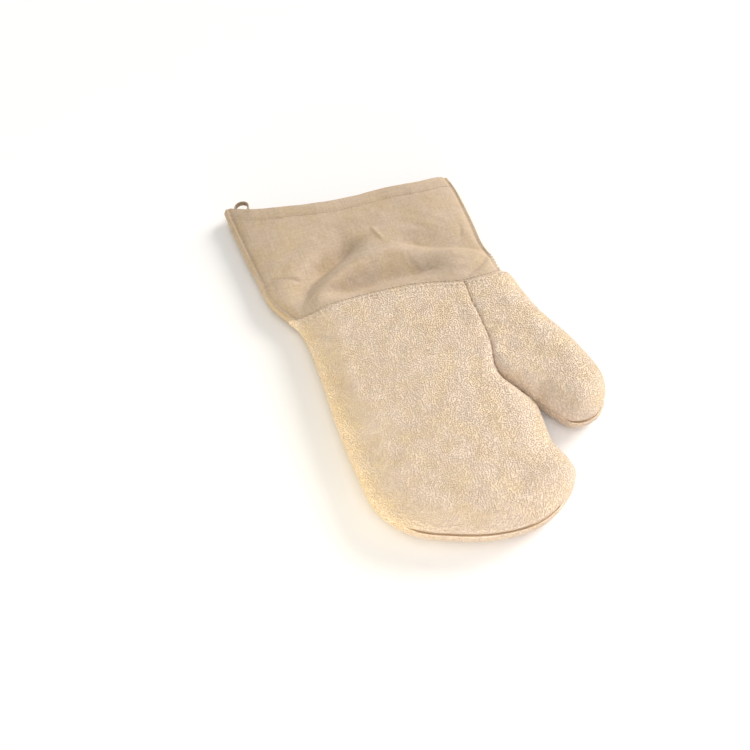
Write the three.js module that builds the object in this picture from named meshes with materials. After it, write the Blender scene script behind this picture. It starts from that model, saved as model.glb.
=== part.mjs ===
import * as THREE from 'three';

// An oven mitt with a long canvas cuff, lying flat on the surface z = 0.
// Millimetres. X runs toward the thumb, Y toward the open end of the cuff, Z up.

// Cloth and sewing
const terry = { wall: 4.2, lip: 2.2, rollIn: 1.6 };
const canvas = { wall: 1.4, lip: 0, rollIn: 0.5 };
const hemWall = 2.4;
const hemDepth = 10.5;
const hemStepRun = 0.8;
const seamGap = 0.3;
const cuffStep = 1.4;
const wristLip = { height: 0.8, width: 5 };
const sideBead = { height: 0.9, centre: 2.6, width: 1.6 };
const sideGroove = { height: -0.6, centre: 5.8, width: 1.4 };
const palmDome = { x: -18, y: -75, halfWidth: 98, halfLength: 150, rise: 5.5 };

// Middle of the finished mitt in plan, which is put over the origin.
const centre = { x: 0.3, y: 0.4 };

// Turns rows of numbers into objects with the named columns.
function table(columns, ...rows) {
  return rows.map((row) => Object.fromEntries(columns.map((name, i) => [name, row[i]])));
}

// Height of the perimeter seam and of the upper side, and how far in from the
// perimeter the upper and the under side are rounded, along the mitt.
const body = table(['y', 'seam', 'top', 'topRound', 'floorRound'],
  [-200, 18.5, 34.0, 23, 11],
  [-150, 17.0, 34.5, 26, 12],
  [-90, 14.5, 34.0, 27, 14],
  [-30, 12.5, 33.0, 27, 16],
  [20, 11.0, 31.0, 29, 18],
  [60, 10.0, 28.0, 40, 26],
  [110, 9.2, 25.0, 54, 36],
  [170, 9.0, 24.0, 62, 42],
  [210, 9.0, 24.0, 62, 42]);

// Perimeter of the mitt away from the thumb: down the cuff and the hand, round
// the fingertips and up to the crotch of the thumb.
const handEdge = table(['x', 'y', 'place'],
  [-122.5, 192.5, 'hem'],
  [-121.5, 155, 'cuff'],
  [-118.5, 110, 'cuff'],
  [-115.5, 80, 'cuff'],
  [-106.0, 59.5, 'wrist'],
  [-101.0, 48, 'hand'],
  [-99.0, 30, 'hand'],
  [-99.5, -5, 'hand'],
  [-102.5, -50, 'hand'],
  [-102.5, -105, 'hand'],
  [-99.5, -137, 'hand'],
  [-82.0, -164, 'tipStart'],
  [-48.5, -183, 'tip'],
  [-15.5, -194, 'tip'],
  [17.0, -196, 'tip'],
  [42.5, -186, 'tipEnd'],
  [61.0, -168, 'side'],
  [61.5, -154, 'side'],
  [56.0, -134, 'side'],
  [58.0, -113, 'side'],
  [60.0, -93, 'crotch']);

// Perimeter of the thumb, from the crotch round its tip, and up the cuff.
const thumbEdge = table(['x', 'y', 'place'],
  [60.0, -93, 'crotch'],
  [69.0, -108, 'side'],
  [78.0, -121, 'tipStart'],
  [89.5, -125.5, 'tip'],
  [103.0, -123, 'tip'],
  [116.0, -110, 'tipEnd'],
  [123.0, -90, 'side'],
  [120.0, -67, 'side'],
  [111.5, -37, 'side'],
  [102.5, -14.5, 'side'],
  [96.5, 13, 'side'],
  [94.5, 29, 'side'],
  [92.5, 36, 'side'],
  [88.5, 40, 'wrist'],
  [87.5, 62, 'cuff'],
  [85.5, 73, 'cuff'],
  [87.0, 105, 'cuff'],
  [87.5, 141, 'cuff'],
  [85.5, 154.5, 'hem']);

// Seam between hand and thumb, from the wrist to the crotch: how deep it pulls
// the upper and the under side in, as a share of their height, and how widely.
const thumbSeam = table(['x', 'y', 'frontPull', 'backPull', 'width'],
  [48.0, 33, 0.07, 0.10, 6],
  [46.0, 10, 0.08, 0.10, 6],
  [45.6, -12, 0.09, 0.12, 6],
  [43.5, -35, 0.12, 0.16, 7],
  [38.6, -56, 0.26, 0.30, 9],
  [42.0, -68, 0.48, 0.50, 11],
  [51.0, -80, 0.78, 0.78, 13],
  [60.0, -93, 1.00, 1.00, 14]);

// Seam between terry and canvas, and the hem, from the left side to the thumb side.
const wristSeam = table(['x', 'y', 'place'],
  [-106, 59.5, 'edge'],
  [-99, 54.5, 'hand'],
  [-88, 51.5, 'hand'],
  [-61, 52.5, 'hand'],
  [-23, 50, 'hand'],
  [15, 43, 'hand'],
  [48, 33, 'thumbSeam'],
  [70, 32, 'thumb'],
  [82, 35.5, 'thumb'],
  [88.5, 40, 'edge']);

const hem = table(['x', 'y'],
  [-122.5, 192.5],
  [-118.5, 193.5],
  [-111, 188.5],
  [-98, 180.5],
  [-56, 167.5],
  [-14, 160.3],
  [20, 158.5],
  [54, 155.3],
  [77, 156.5],
  [85.5, 154.5]);

// Folds of the canvas. A row is one stretch of a valley or, where the depth is
// positive, of a ridge.
const folds = table(['x0', 'y0', 'x1', 'y1', 'width', 'depth'],
  [-94, 58, -79, 81, 8, -3.4],
  [-79, 81, -58, 96, 9, -3.6],
  [-58, 96, -20, 114, 8, -2.6],
  [-71, 79, -44, 94, 8, 1.8],
  [-44, 94, -12, 105, 9, 1.8],
  [-12, 105, 36, 86, 10, 1.6],
  [-60, 75, -24, 81, 9, -3.2],
  [-24, 81, 28, 70, 11, -4.0],
  [28, 70, 50, 58, 9, -2.4],
  [-42, 71, 34, 56, 7, 1.2],
  [-67, 77, -42, 65, 5, -2.2],
  [10, 108, 30, 98, 7, -1.8],
  [30, 98, 70, 95, 8, -2.2],
  [-7, 121, -2, 105, 5, -1.4],
  [-108, 104, -83, 89, 5, -1.2],
  [73, 54, 56, 43, 5, -1.4],
  [76, 107, 69, 86, 5, -1.2]);
const foldShareAtWrist = 0.6;
const foldReachOnTerry = 14;

// Hanging loop: a tape sewn under the hem near its outer corner. The path is half
// of the loop: how far out from the hem and to the side of its middle the tape
// runs, how far below the hem's inner face, and how far it is turned on edge.
// Past the last sewn place the inner face is taken from that place.
const loop = { x: -107.6, y: 186.2, leanX: 0.33, leanY: 0.94, width: 5.4, thickness: 1.2, sewnIn: 1 };
const loopPath = table(['out', 'side', 'drop', 'turn'],
  [-13, -4.4, 0.3, 0],
  [-8, -4.6, 0.3, 0],
  [-3, -5.4, 2.0, 20],
  [1.2, -6.3, 3.3, 65],
  [5.4, -6.3, 3.6, 90],
  [9.2, -4.6, 3.4, 90],
  [10.8, 0, 3.3, 90]);

// How the grid lines of the panels are spread: steps in from an edge, then at
// most the given step.
const fine = { edge: [1.2, 2.8, 4.4, 6.2, 10, 15], lip: [1.5, 4.5], step: 10, rowStep: 13, cuffRowStep: 6.2 };
const coarse = { edge: [1.5, 4.5, 9], lip: [4], step: 19, rowStep: 20, cuffRowStep: 18 };
const loopSteps = 30;

// Smooth line through the rows of a table, with lengths measured along it.
class SewnLine {
  constructor(rows) {
    const perSpan = 24;
    const curve = new THREE.CatmullRomCurve3(rows.map((row) => new THREE.Vector3(row.x, row.y, 0)));
    this.points = curve.getPoints((rows.length - 1) * perSpan);
    this.lengths = [0];
    for (let i = 1; i < this.points.length; i++) {
      this.lengths.push(this.lengths[i - 1] + this.points[i].distanceTo(this.points[i - 1]));
    }
    this.knots = rows.map((row, i) => this.lengths[i * perSpan]);
    this.rows = rows;
  }

  lengthAt(place) {
    return this.knots[this.rows.findIndex((row) => row.place === place)];
  }

  get length() {
    return this.lengths[this.lengths.length - 1];
  }

  span(length) {
    let low = 0;
    let high = this.lengths.length - 2;
    while (low < high) {
      const middle = Math.ceil((low + high) / 2);
      if (this.lengths[middle] <= length) low = middle;
      else high = middle - 1;
    }
    const share = (length - this.lengths[low]) / (this.lengths[low + 1] - this.lengths[low]);
    return { low, share };
  }

  at(length) {
    const { low, share } = this.span(length);
    return this.points[low].clone().lerp(this.points[low + 1], share);
  }

  // Unit vector across the line, to the right of its direction.
  across(length) {
    const before = this.at(Math.max(0, length - 1));
    const after = this.at(Math.min(this.length, length + 1));
    const along = after.sub(before).normalize();
    return new THREE.Vector3(along.y, -along.x, 0);
  }

  // Distance from a point to the line, and how far along the nearest place is.
  nearest(x, y) {
    let best = Infinity;
    let along = 0;
    for (let i = 1; i < this.points.length; i++) {
      const a = this.points[i - 1];
      const b = this.points[i];
      const dx = b.x - a.x;
      const dy = b.y - a.y;
      const share = THREE.MathUtils.clamp(((x - a.x) * dx + (y - a.y) * dy) / (dx * dx + dy * dy), 0, 1);
      const gap = Math.hypot(a.x + dx * share - x, a.y + dy * share - y);
      if (gap < best) {
        best = gap;
        along = this.lengths[i - 1] + Math.hypot(dx, dy) * share;
      }
    }
    return { distance: best, along };
  }
}

const handLine = new SewnLine(handEdge);
const thumbLine = new SewnLine(thumbEdge);
const seamLine = new SewnLine(thumbSeam);
const wristLine = new SewnLine(wristSeam);
const hemLine = new SewnLine(hem);

// Lengths at which the panels meet, along the lines.
const wristLeft = handLine.lengthAt('wrist');
const tipStart = handLine.lengthAt('tipStart');
const tipEnd = handLine.lengthAt('tipEnd');
const thumbTipStart = thumbLine.lengthAt('tipStart');
const thumbTipEnd = thumbLine.lengthAt('tipEnd');
const wristRight = thumbLine.lengthAt('wrist');
const seamOnWrist = wristLine.lengthAt('thumbSeam');
const seamRows = thumbSeam.map((row, i) => ({ ...row, along: seamLine.knots[i] }));

// Value of a column at a place, on a smooth curve through the rows.
function column(rows, key, place, name) {
  const slope = (i) => {
    const before = rows[Math.max(0, i - 1)];
    const after = rows[Math.min(rows.length - 1, i + 1)];
    return (after[name] - before[name]) / (after[key] - before[key]);
  };
  let i = 1;
  while (i < rows.length - 1 && place > rows[i][key]) i++;
  const [a, b] = [rows[i - 1], rows[i]];
  const span = b[key] - a[key];
  const t = THREE.MathUtils.clamp((place - a[key]) / span, 0, 1);
  const rise = t * t * (3 - 2 * t);
  return a[name] + (b[name] - a[name]) * rise + span * t * (1 - t) * ((1 - t) * slope(i - 1) - t * slope(i));
}

// Quarter round: 0 and upright at the edge, 1 and level from there on.
function round(share) {
  const t = THREE.MathUtils.clamp(share, 0, 1);
  return Math.sqrt(1 - (1 - t) ** 2);
}

function bump(distance, width) {
  return Math.exp(-((distance / width) ** 2));
}

function edgeDistance(x, y) {
  return Math.min(handLine.nearest(x, y).distance, thumbLine.nearest(x, y).distance);
}

function seamPull(along, side) {
  return Math.min(1, column(seamRows, 'along', along, side));
}

// Width in plan of a terry rim along the thumb seam: none where the rim is
// upright, at the wrist, and the whole wall where it is level, at the crotch.
function rimWidth(along, wall, side) {
  return wall * Math.sqrt(1 - (1 - seamPull(along, side)) ** 2);
}

// Share of the height that the thumb seam leaves at a point.
function seamShare(x, y, wall, side) {
  const near = seamLine.nearest(x, y);
  const width = column(seamRows, 'along', near.along, 'width');
  const inward = near.distance - rimWidth(near.along, wall, side);
  return 1 - seamPull(near.along, side) * (1 - round(inward / width));
}

function foldDistance(x, y, { x0, y0, x1, y1 }) {
  const dx = x1 - x0;
  const dy = y1 - y0;
  const share = THREE.MathUtils.clamp(((x - x0) * dx + (y - y0) * dy) / (dx * dx + dy * dy), 0, 1);
  return Math.hypot(x0 + dx * share - x, y0 + dy * share - y);
}

function foldDepth(x, y) {
  return folds.reduce((sum, fold) => sum + fold.depth * bump(foldDistance(x, y, fold), fold.width), 0);
}

function dome(x, y) {
  const across = (x - palmDome.x) / palmDome.halfWidth;
  const along = (y - palmDome.y) / palmDome.halfLength;
  return palmDome.rise * Math.max(0, 1 - across ** 2 - along ** 2) ** 2;
}

// Upper side of the terry at a point, or its inner face where wall is given.
// The cloth rolls over the seam, so the outer face starts a lip above it.
function terryTop(x, y, wall) {
  const seam = column(body, 'y', y, 'seam') + seamGap / 2 + (wall ? 0 : terry.lip);
  const edge = round((edgeDistance(x, y) - wall) / (column(body, 'y', y, 'topRound') - wall));
  const wrist = wristLine.nearest(x, y).distance;
  const folded = foldDepth(x, y) * foldShareAtWrist * bump(wrist, foldReachOnTerry);
  const lip = wall ? 0 : wristLip.height * (1 - round(wrist / wristLip.width));
  const height = column(body, 'y', y, 'top') + dome(x, y) + folded - lip - wall - seam;
  return seam + height * edge * seamShare(x, y, wall, 'frontPull');
}

// Under side of the terry at a point, flat on the surface away from the edges.
function terryFloor(x, y, wall) {
  const seam = column(body, 'y', y, 'seam') - seamGap / 2 - (wall ? 0 : terry.lip);
  const edge = round((edgeDistance(x, y) - wall) / (column(body, 'y', y, 'floorRound') - wall));
  return seam - (seam - wall) * edge * seamShare(x, y, wall, 'backPull');
}

// Upper side of the canvas. The hem is doubled, half of it outward.
function canvasTop(x, y, wall, inHem) {
  const outward = inHem ? (hemWall - canvas.wall) / 2 : 0;
  const depth = wall ? wall + outward : -outward;
  const seam = column(body, 'y', y, 'seam') + seamGap / 2;
  const edge = edgeDistance(x, y) - wall;
  const rounded = round(edge / (column(body, 'y', y, 'topRound') - wall));
  const share = 1 - (1 - foldShareAtWrist) * bump(wristLine.nearest(x, y).distance, foldReachOnTerry);
  const height = column(body, 'y', y, 'top') + dome(x, y) + foldDepth(x, y) * share - cuffStep - depth - seam;
  const bead = sideBead.height * bump(edge - sideBead.centre, sideBead.width);
  const groove = sideGroove.height * bump(edge - sideGroove.centre, sideGroove.width);
  return seam + height * rounded + (bead + groove) * THREE.MathUtils.clamp(edge / sideBead.centre, 0, 1);
}

function canvasFloor(x, y, wall, inHem) {
  const depth = wall && inHem ? hemWall : wall;
  const seam = column(body, 'y', y, 'seam') - seamGap / 2;
  const rounded = round((edgeDistance(x, y) - wall) / (column(body, 'y', y, 'floorRound') - wall));
  return seam - (seam - depth) * rounded;
}

// Shares of the way along a line at which grid lines start: given steps in from
// each end, in millimetres, and even steps between them.
function spread(length, startSteps, endSteps, step) {
  const start = startSteps.at(-1) ?? 0;
  const end = endSteps.at(-1) ?? 0;
  const middle = length - start - end;
  const count = Math.ceil(middle / step);
  const even = Array.from({ length: count + 1 }, (_, i) => start + (middle * i) / count);
  const ends = endSteps.map((s) => length - s).reverse();
  const places = [...startSteps.slice(0, -1), ...even, ...ends.slice(1)];
  if (startSteps.length) places.unshift(0);
  if (endSteps.length) places.push(length);
  return places.map((place) => place / length);
}

// Points along a stretch of a line, moved to the left of the line's direction.
// The perimeter runs so that this is into the mitt.
function stretch(line, from, to, shares, inward) {
  return shares.map((share) => {
    const place = THREE.MathUtils.lerp(from, to, share);
    return line.at(place).addScaledVector(line.across(place), -inward(place));
  });
}

// Points of a grid between four boundary rows of points that meet at its corners.
function fill(left, right, near, far, across, along) {
  const last = across.length - 1;
  return along.map((v, j) => across.map((u, i) => new THREE.Vector3()
    .addScaledVector(left[j], 1 - u)
    .addScaledVector(right[j], u)
    .addScaledVector(near[i], 1 - v)
    .addScaledVector(far[i], v)
    .addScaledVector(near[0], -(1 - u) * (1 - v))
    .addScaledVector(near[last], -u * (1 - v))
    .addScaledVector(far[0], -(1 - u) * v)
    .addScaledVector(far[last], -u * v)));
}

// One side of the hand or thumb panel: the thumb seam down to the crotch, then
// a stretch of perimeter. Gives its points and where along it they are.
function seamAndPerimeter(mesh, line, crotch, tip, towardHand, wall, side) {
  const freeLength = Math.abs(tip - crotch);
  const sideLength = seamLine.length + freeLength;
  const onSeam = spread(seamLine.length, mesh.lip, [], mesh.rowStep);
  const onFree = spread(freeLength, [], mesh.edge, mesh.rowStep);
  const rim = (place) => -towardHand * (seamGap / 2 + rimWidth(place, wall, side));
  const seamPoints = stretch(seamLine, 0, seamLine.length, onSeam, rim);
  const freePoints = stretch(line, crotch, tip, onFree, () => wall);
  const crotchPoint = seamPoints.pop().lerp(freePoints.shift(), 0.5);
  const wristPoint = seamPoints.shift().add(new THREE.Vector3(0, -seamGap / 2, 0));
  return {
    points: [wristPoint, ...seamPoints, crotchPoint, ...freePoints],
    along: [
      ...onSeam.map((share) => share * seamLine.length / sideLength),
      ...onFree.slice(1).map((share) => (seamLine.length + share * freeLength) / sideLength),
    ],
    crotchRow: onSeam.length - 1,
  };
}

// Columns of the panels at the wrist, where the cuff has those of hand and thumb.
const handColumns = (mesh) => spread(seamOnWrist, mesh.edge, mesh.edge, mesh.step);
const thumbColumns = (mesh) => spread(wristLine.length - seamOnWrist, mesh.edge, mesh.edge, mesh.step);
const cuffColumns = (mesh) => [
  ...handColumns(mesh).map((share) => share * seamOnWrist / wristLine.length),
  ...thumbColumns(mesh).slice(1).map((share) => 1 - (1 - share) * (1 - seamOnWrist / wristLine.length)),
];

// The hand panel in plan, and which of its points lie on the perimeter.
function handPlan(mesh, wall, side) {
  const seamed = seamAndPerimeter(mesh, handLine, handLine.length, tipEnd, 1, wall, side);
  const { points: right, along, crotchRow } = seamed;
  const across = handColumns(mesh);
  const left = stretch(handLine, wristLeft, tipStart, along, () => wall);
  const near = stretch(wristLine, wall, seamOnWrist, across, () => -seamGap / 2);
  const far = stretch(handLine, tipStart, tipEnd, across, () => wall);
  left[0] = near[0];
  near[near.length - 1] = right[0];
  const onPerimeter = (i, j) => i === 0 || j === along.length - 1 || (i === across.length - 1 && j >= crotchRow);
  return { grid: fill(left, right, near, far, across, along), onPerimeter };
}

function thumbPlan(mesh, wall, side) {
  const seamed = seamAndPerimeter(mesh, thumbLine, 0, thumbTipStart, -1, wall, side);
  const { points: left, along, crotchRow } = seamed;
  const across = thumbColumns(mesh);
  const right = stretch(thumbLine, wristRight, thumbTipEnd, along, () => wall);
  const near = stretch(wristLine, seamOnWrist, wristLine.length - wall, across, () => -seamGap / 2);
  const far = stretch(thumbLine, thumbTipStart, thumbTipEnd, across, () => wall);
  near[0] = left[0];
  right[0] = near.at(-1);
  const onPerimeter = (i, j) => i === across.length - 1 || j === along.length - 1 || (i === 0 && j >= crotchRow);
  return { grid: fill(left, right, near, far, across, along), onPerimeter };
}

// The cuff panel in plan, from the wrist to the hem.
function cuffPlan(mesh, wall) {
  const along = spread(wristLeft, [], [hemDepth - hemStepRun / 2, hemDepth + hemStepRun / 2], mesh.cuffRowStep);
  const across = cuffColumns(mesh);
  const left = stretch(handLine, wristLeft, 0, along, () => wall);
  const right = stretch(thumbLine, wristRight, thumbLine.length, along, () => wall);
  const near = stretch(wristLine, wall, wristLine.length - wall, across, () => seamGap / 2);
  const far = stretch(hemLine, wall, hemLine.length - wall, across, () => 0);
  left[0] = near[0];
  right[0] = near.at(-1);
  left[along.length - 1] = far[0];
  right[along.length - 1] = far.at(-1);
  const onPerimeter = (i) => i === 0 || i === across.length - 1;
  const hemStart = along.length - 2;
  return { grid: fill(left, right, near, far, across, along), onPerimeter, hemStart };
}

// Gives the points of a plan their height. On the perimeter they lie a lip from the seam.
function raise({ grid, onPerimeter, hemStart }, height, wall, lip, seamSide) {
  return grid.map((row, j) => row.map(({ x, y }, i) => {
    const edge = column(body, 'y', y, 'seam') + seamSide * (seamGap / 2 + lip);
    return new THREE.Vector3(x, y, onPerimeter(i, j) ? edge : height(x, y, wall, j >= hemStart));
  }));
}

// Geometry of a closed solid, with its triangles facing out.
function solid(positions, triangles) {
  const corner = (i) => new THREE.Vector3().fromArray(positions, triangles[i] * 3);
  let volume = 0;
  for (let i = 0; i < triangles.length; i += 3) {
    volume += corner(i).dot(corner(i + 1).cross(corner(i + 2)));
  }
  const geometry = new THREE.BufferGeometry();
  geometry.setAttribute('position', new THREE.Float32BufferAttribute(positions, 3));
  geometry.setIndex(volume < 0 ? triangles.reverse() : triangles);
  geometry.computeVertexNormals();
  return geometry;
}

// Places round the border of a grid, as pairs of row and column.
function border(rows, columns) {
  const down = Array.from({ length: rows - 1 }, (_, j) => j);
  const over = Array.from({ length: columns - 1 }, (_, i) => i);
  return [
    ...over.map((i) => [0, i]),
    ...down.map((j) => [j, columns - 1]),
    ...over.map((i) => [rows - 1, columns - 1 - i]),
    ...down.map((j) => [rows - 1 - j, 0]),
  ];
}

// One panel of the mitt as a closed solid: an outer and an inner face, and round
// their border a rim that rolls in to the seam and then crosses the cloth.
function panel(plan, mesh, cloth, side, height, seamSide) {
  const planned = plan(mesh, 0, side);
  const outer = raise(planned, height, 0, cloth.lip, seamSide);
  const inner = raise(plan(mesh, cloth.wall, side), height, cloth.wall, 0, seamSide);
  const rows = outer.length;
  const columns = outer[0].length;
  const ring = border(rows, columns);
  const rolled = ring.map(([j, i]) => {
    const point = outer[j][i].clone().lerp(inner[j][i], cloth.rollIn / cloth.wall);
    return planned.onPerimeter(i, j) ? point.setZ(inner[j][i].z) : point;
  });
  const positions = [...outer.flat(), ...inner.flat(), ...rolled].flatMap((point) => point.toArray());
  const triangles = [];
  const quad = (a, b, c, d) => triangles.push(a, b, c, a, c, d);
  const onOuter = (j, i) => j * columns + i;
  const onInner = (j, i) => (rows + j) * columns + i;
  for (let j = 0; j < rows - 1; j++) {
    for (let i = 0; i < columns - 1; i++) {
      quad(onOuter(j, i), onOuter(j + 1, i), onOuter(j + 1, i + 1), onOuter(j, i + 1));
      quad(onInner(j, i), onInner(j, i + 1), onInner(j + 1, i + 1), onInner(j + 1, i));
    }
  }
  ring.forEach((here, k) => {
    const next = (k + 1) % ring.length;
    const [rollHere, rollNext] = [k, next].map((place) => 2 * rows * columns + place);
    quad(onOuter(...here), onOuter(...ring[next]), rollNext, rollHere);
    quad(rollHere, rollNext, onInner(...ring[next]), onInner(...here));
  });
  return solid(positions, triangles);
}

// The tape of the hanging loop, swept from one sewn end to the other. It lies
// flat under the hem and turns on edge where it stands out.
function hangingLoop() {
  const outward = new THREE.Vector3(loop.leanX, loop.leanY, 0).normalize();
  const sideways = new THREE.Vector3(outward.y, -outward.x, 0);
  const upward = new THREE.Vector3(0, 0, 1);
  const onHem = (out, side) => new THREE.Vector3(loop.x, loop.y, 0)
    .addScaledVector(outward, Math.min(out, -loop.sewnIn))
    .addScaledVector(sideways, side);
  const hemFace = (point) => canvasTop(point.x, point.y, canvas.wall, true);
  const rows = [...loopPath, ...loopPath.slice(0, -1).reverse().map((row) => ({ ...row, side: -row.side }))];
  const path = new THREE.CatmullRomCurve3(rows.map(({ out, side, drop }) => new THREE.Vector3(loop.x, loop.y, 0)
    .addScaledVector(outward, out)
    .addScaledVector(sideways, side)
    .setZ(hemFace(onHem(out, side)) - seamGap - loop.thickness / 2 - drop)));
  const positions = [];
  for (let i = 0; i <= loopSteps; i++) {
    const share = i / loopSteps;
    const point = path.getPoint(share);
    const along = path.getTangent(share);
    const level = along.clone().cross(upward).normalize();
    const offset = point.clone().sub(new THREE.Vector3(loop.x, loop.y, 0));
    const anchor = onHem(offset.dot(outward), offset.dot(sideways));
    const slope = hemFace(anchor.clone().add(level)) - hemFace(anchor);
    const row = share * (rows.length - 1);
    const turn = THREE.MathUtils.lerp(rows[Math.floor(row)].turn, rows[Math.ceil(row)].turn, row % 1);
    const flat = level.clone().addScaledVector(upward, slope).normalize();
    const across = flat.multiplyScalar(Math.cos(turn * Math.PI / 180))
      .addScaledVector(upward, Math.sin(turn * Math.PI / 180)).normalize();
    const through = across.clone().cross(along).normalize();
    for (const [w, t] of [[-1, -1], [1, -1], [1, 1], [-1, 1]]) {
      const corner = point.clone()
        .addScaledVector(across, w * loop.width / 2)
        .addScaledVector(through, t * loop.thickness / 2);
      positions.push(...corner.toArray());
    }
  }
  const triangles = [0, 1, 2, 0, 2, 3];
  for (let i = 0; i < loopSteps; i++) {
    for (let side = 0; side < 4; side++) {
      const [a, b] = [i * 4 + side, i * 4 + (side + 1) % 4];
      triangles.push(a, a + 4, b + 4, a, b + 4, b);
    }
  }
  const end = loopSteps * 4;
  triangles.push(end, end + 2, end + 1, end, end + 3, end + 2);
  return solid(positions, triangles);
}

const terryFinish = { color: 0xe0cba8, roughness: 0.95, metalness: 0 };
const canvasFinish = { color: 0xd2bd9c, roughness: 0.9, metalness: 0 };

const glove = new THREE.Group();
glove.position.set(-centre.x, -centre.y, 0);

function addPiece(name, geometry, finish) {
  const mesh = new THREE.Mesh(geometry, new THREE.MeshStandardMaterial(finish));
  mesh.name = name;
  glove.add(mesh);
}

addPiece('hand_front', panel(handPlan, fine, terry, 'frontPull', terryTop, 1), terryFinish);
addPiece('hand_back', panel(handPlan, coarse, terry, 'backPull', terryFloor, -1), terryFinish);
addPiece('thumb_front', panel(thumbPlan, fine, terry, 'frontPull', terryTop, 1), terryFinish);
addPiece('thumb_back', panel(thumbPlan, coarse, terry, 'backPull', terryFloor, -1), terryFinish);
addPiece('cuff_front', panel(cuffPlan, fine, canvas, 'frontPull', canvasTop, 1), canvasFinish);
addPiece('cuff_back', panel(cuffPlan, coarse, canvas, 'backPull', canvasFloor, -1), canvasFinish);
addPiece('hang_loop', hangingLoop(), canvasFinish);

export default glove;
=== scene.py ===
import math

import bpy
import numpy as np
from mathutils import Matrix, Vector


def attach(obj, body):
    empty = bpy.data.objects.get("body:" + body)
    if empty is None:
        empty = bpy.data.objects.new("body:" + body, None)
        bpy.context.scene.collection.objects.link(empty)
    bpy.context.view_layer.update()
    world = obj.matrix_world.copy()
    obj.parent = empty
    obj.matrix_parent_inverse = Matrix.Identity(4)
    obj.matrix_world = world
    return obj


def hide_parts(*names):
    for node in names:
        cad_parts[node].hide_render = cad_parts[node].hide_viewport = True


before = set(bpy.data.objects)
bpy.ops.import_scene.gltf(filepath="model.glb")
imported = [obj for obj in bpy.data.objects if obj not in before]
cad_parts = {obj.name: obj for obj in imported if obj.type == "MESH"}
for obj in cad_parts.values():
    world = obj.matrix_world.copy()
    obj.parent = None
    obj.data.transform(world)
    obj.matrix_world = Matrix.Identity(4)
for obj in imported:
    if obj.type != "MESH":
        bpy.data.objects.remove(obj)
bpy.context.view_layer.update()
print("frame loaded")

mm = 0.001
body = "root"


# The cut of the mitt, in millimetres, as sewn and lying down. +X is toward the thumb and
# +Y toward the open end of the cuff.
mitt = {
    "centre": (0.3, 0.4, 0.0),  # middle of the mitt, put over the origin
    "seamGap": 0.04,
    "terryWall": 4.2,
    "terryLip": 1.0,
    "canvasWall": 1.4,
    "hemWall": 2.4,
    "hemDepth": 12.0,
    "hemStepRun": 0.8,
    "cuffStep": 1.4,
    "wristLip": (0.8, 5.0),  # height, width
    "foldShareAtWrist": 0.6,
    "foldReachOnTerry": 14.0,
}


def table(columns, *rows):
    return [dict(zip(columns.split(), row)) for row in rows]


# heights of the perimeter seam and of the upper side, and how far in from the perimeter
# the upper and the under side are rounded
bodyProfile = table("y seam top topRound floorRound",
    (-200, 22.5, 34.0, 23, 10),
    (-150, 20.0, 34.5, 26, 12),
    (-90, 14.5, 34.0, 27, 14),
    (-30, 12.5, 33.0, 27, 16),
    (20, 11.0, 31.0, 29, 18),
    (60, 10.0, 28.0, 40, 26),
    (110, 9.2, 25.0, 54, 36),
    (170, 9.0, 24.0, 62, 42),
    (210, 9.0, 24.0, 62, 42))

handEdge = table("x y place",
    (-122.5, 192.5, "hem"),
    (-121.5, 155, "cuff"),
    (-118.5, 110, "cuff"),
    (-115.5, 80, "cuff"),
    (-106.0, 59.5, "wrist"),
    (-101.0, 48, "hand"),
    (-99.0, 30, "hand"),
    (-99.5, -5, "hand"),
    (-102.5, -50, "hand"),
    (-102.5, -105, "hand"),
    (-99.5, -137, "hand"),
    (-82.0, -164, "tipStart"),
    (-48.5, -183, "tip"),
    (-15.5, -194, "tip"),
    (17.0, -196, "tip"),
    (42.5, -186, "tipEnd"),
    (61.0, -168, "side"),
    (61.5, -154, "side"),
    (56.0, -134, "side"),
    (58.0, -113, "side"),
    (60.0, -93, "crotch"))

thumbEdge = table("x y place",
    (60.0, -93, "crotch"),
    (69.0, -108, "side"),
    (78.0, -121, "tipStart"),
    (89.5, -125.5, "tip"),
    (103.0, -123, "tip"),
    (116.0, -110, "tipEnd"),
    (123.0, -90, "side"),
    (120.0, -67, "side"),
    (111.5, -37, "side"),
    (102.5, -14.5, "side"),
    (96.5, 13, "side"),
    (94.5, 29, "side"),
    (92.5, 36, "side"),
    (88.5, 40, "wrist"),
    (87.5, 62, "cuff"),
    (85.5, 73, "cuff"),
    (87.0, 105, "cuff"),
    (87.5, 141, "cuff"),
    (85.5, 154.5, "hem"))

thumbSeam = table("x y frontPull backPull width",
    (48.0, 33, 0.07, 0.10, 6),
    (46.0, 10, 0.08, 0.10, 6),
    (45.6, -12, 0.09, 0.12, 6),
    (43.5, -35, 0.12, 0.16, 7),
    (38.6, -56, 0.32, 0.30, 9),
    (42.0, -68, 0.60, 0.50, 12),
    (51.0, -80, 0.88, 0.78, 14),
    (60.0, -93, 1.00, 1.00, 14))

wristSeam = table("x y place",
    (-106, 59.5, "edge"),
    (-99, 54.5, "hand"),
    (-88, 51.5, "hand"),
    (-61, 52.5, "hand"),
    (-23, 50, "hand"),
    (15, 43, "hand"),
    (48, 33, "thumbSeam"),
    (70, 32, "thumb"),
    (82, 35.5, "thumb"),
    (88.5, 40, "edge"))

hem = table("x y",
    (-122.5, 192.5),
    (-118.5, 193.5),
    (-111, 188.5),
    (-98, 180.5),
    (-56, 167.5),
    (-14, 160.3),
    (20, 158.5),
    (54, 155.3),
    (77, 156.5),
    (85.5, 154.5))

palmDome = {"x": -18, "y": -75, "halfWidth": 98, "halfLength": 150, "rise": 5.5}
sideBead = {"height": 1.0, "centre": 2.1, "width": 1.4}
sideGroove = {"height": -0.8, "centre": 4.9, "width": 1.0}


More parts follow.
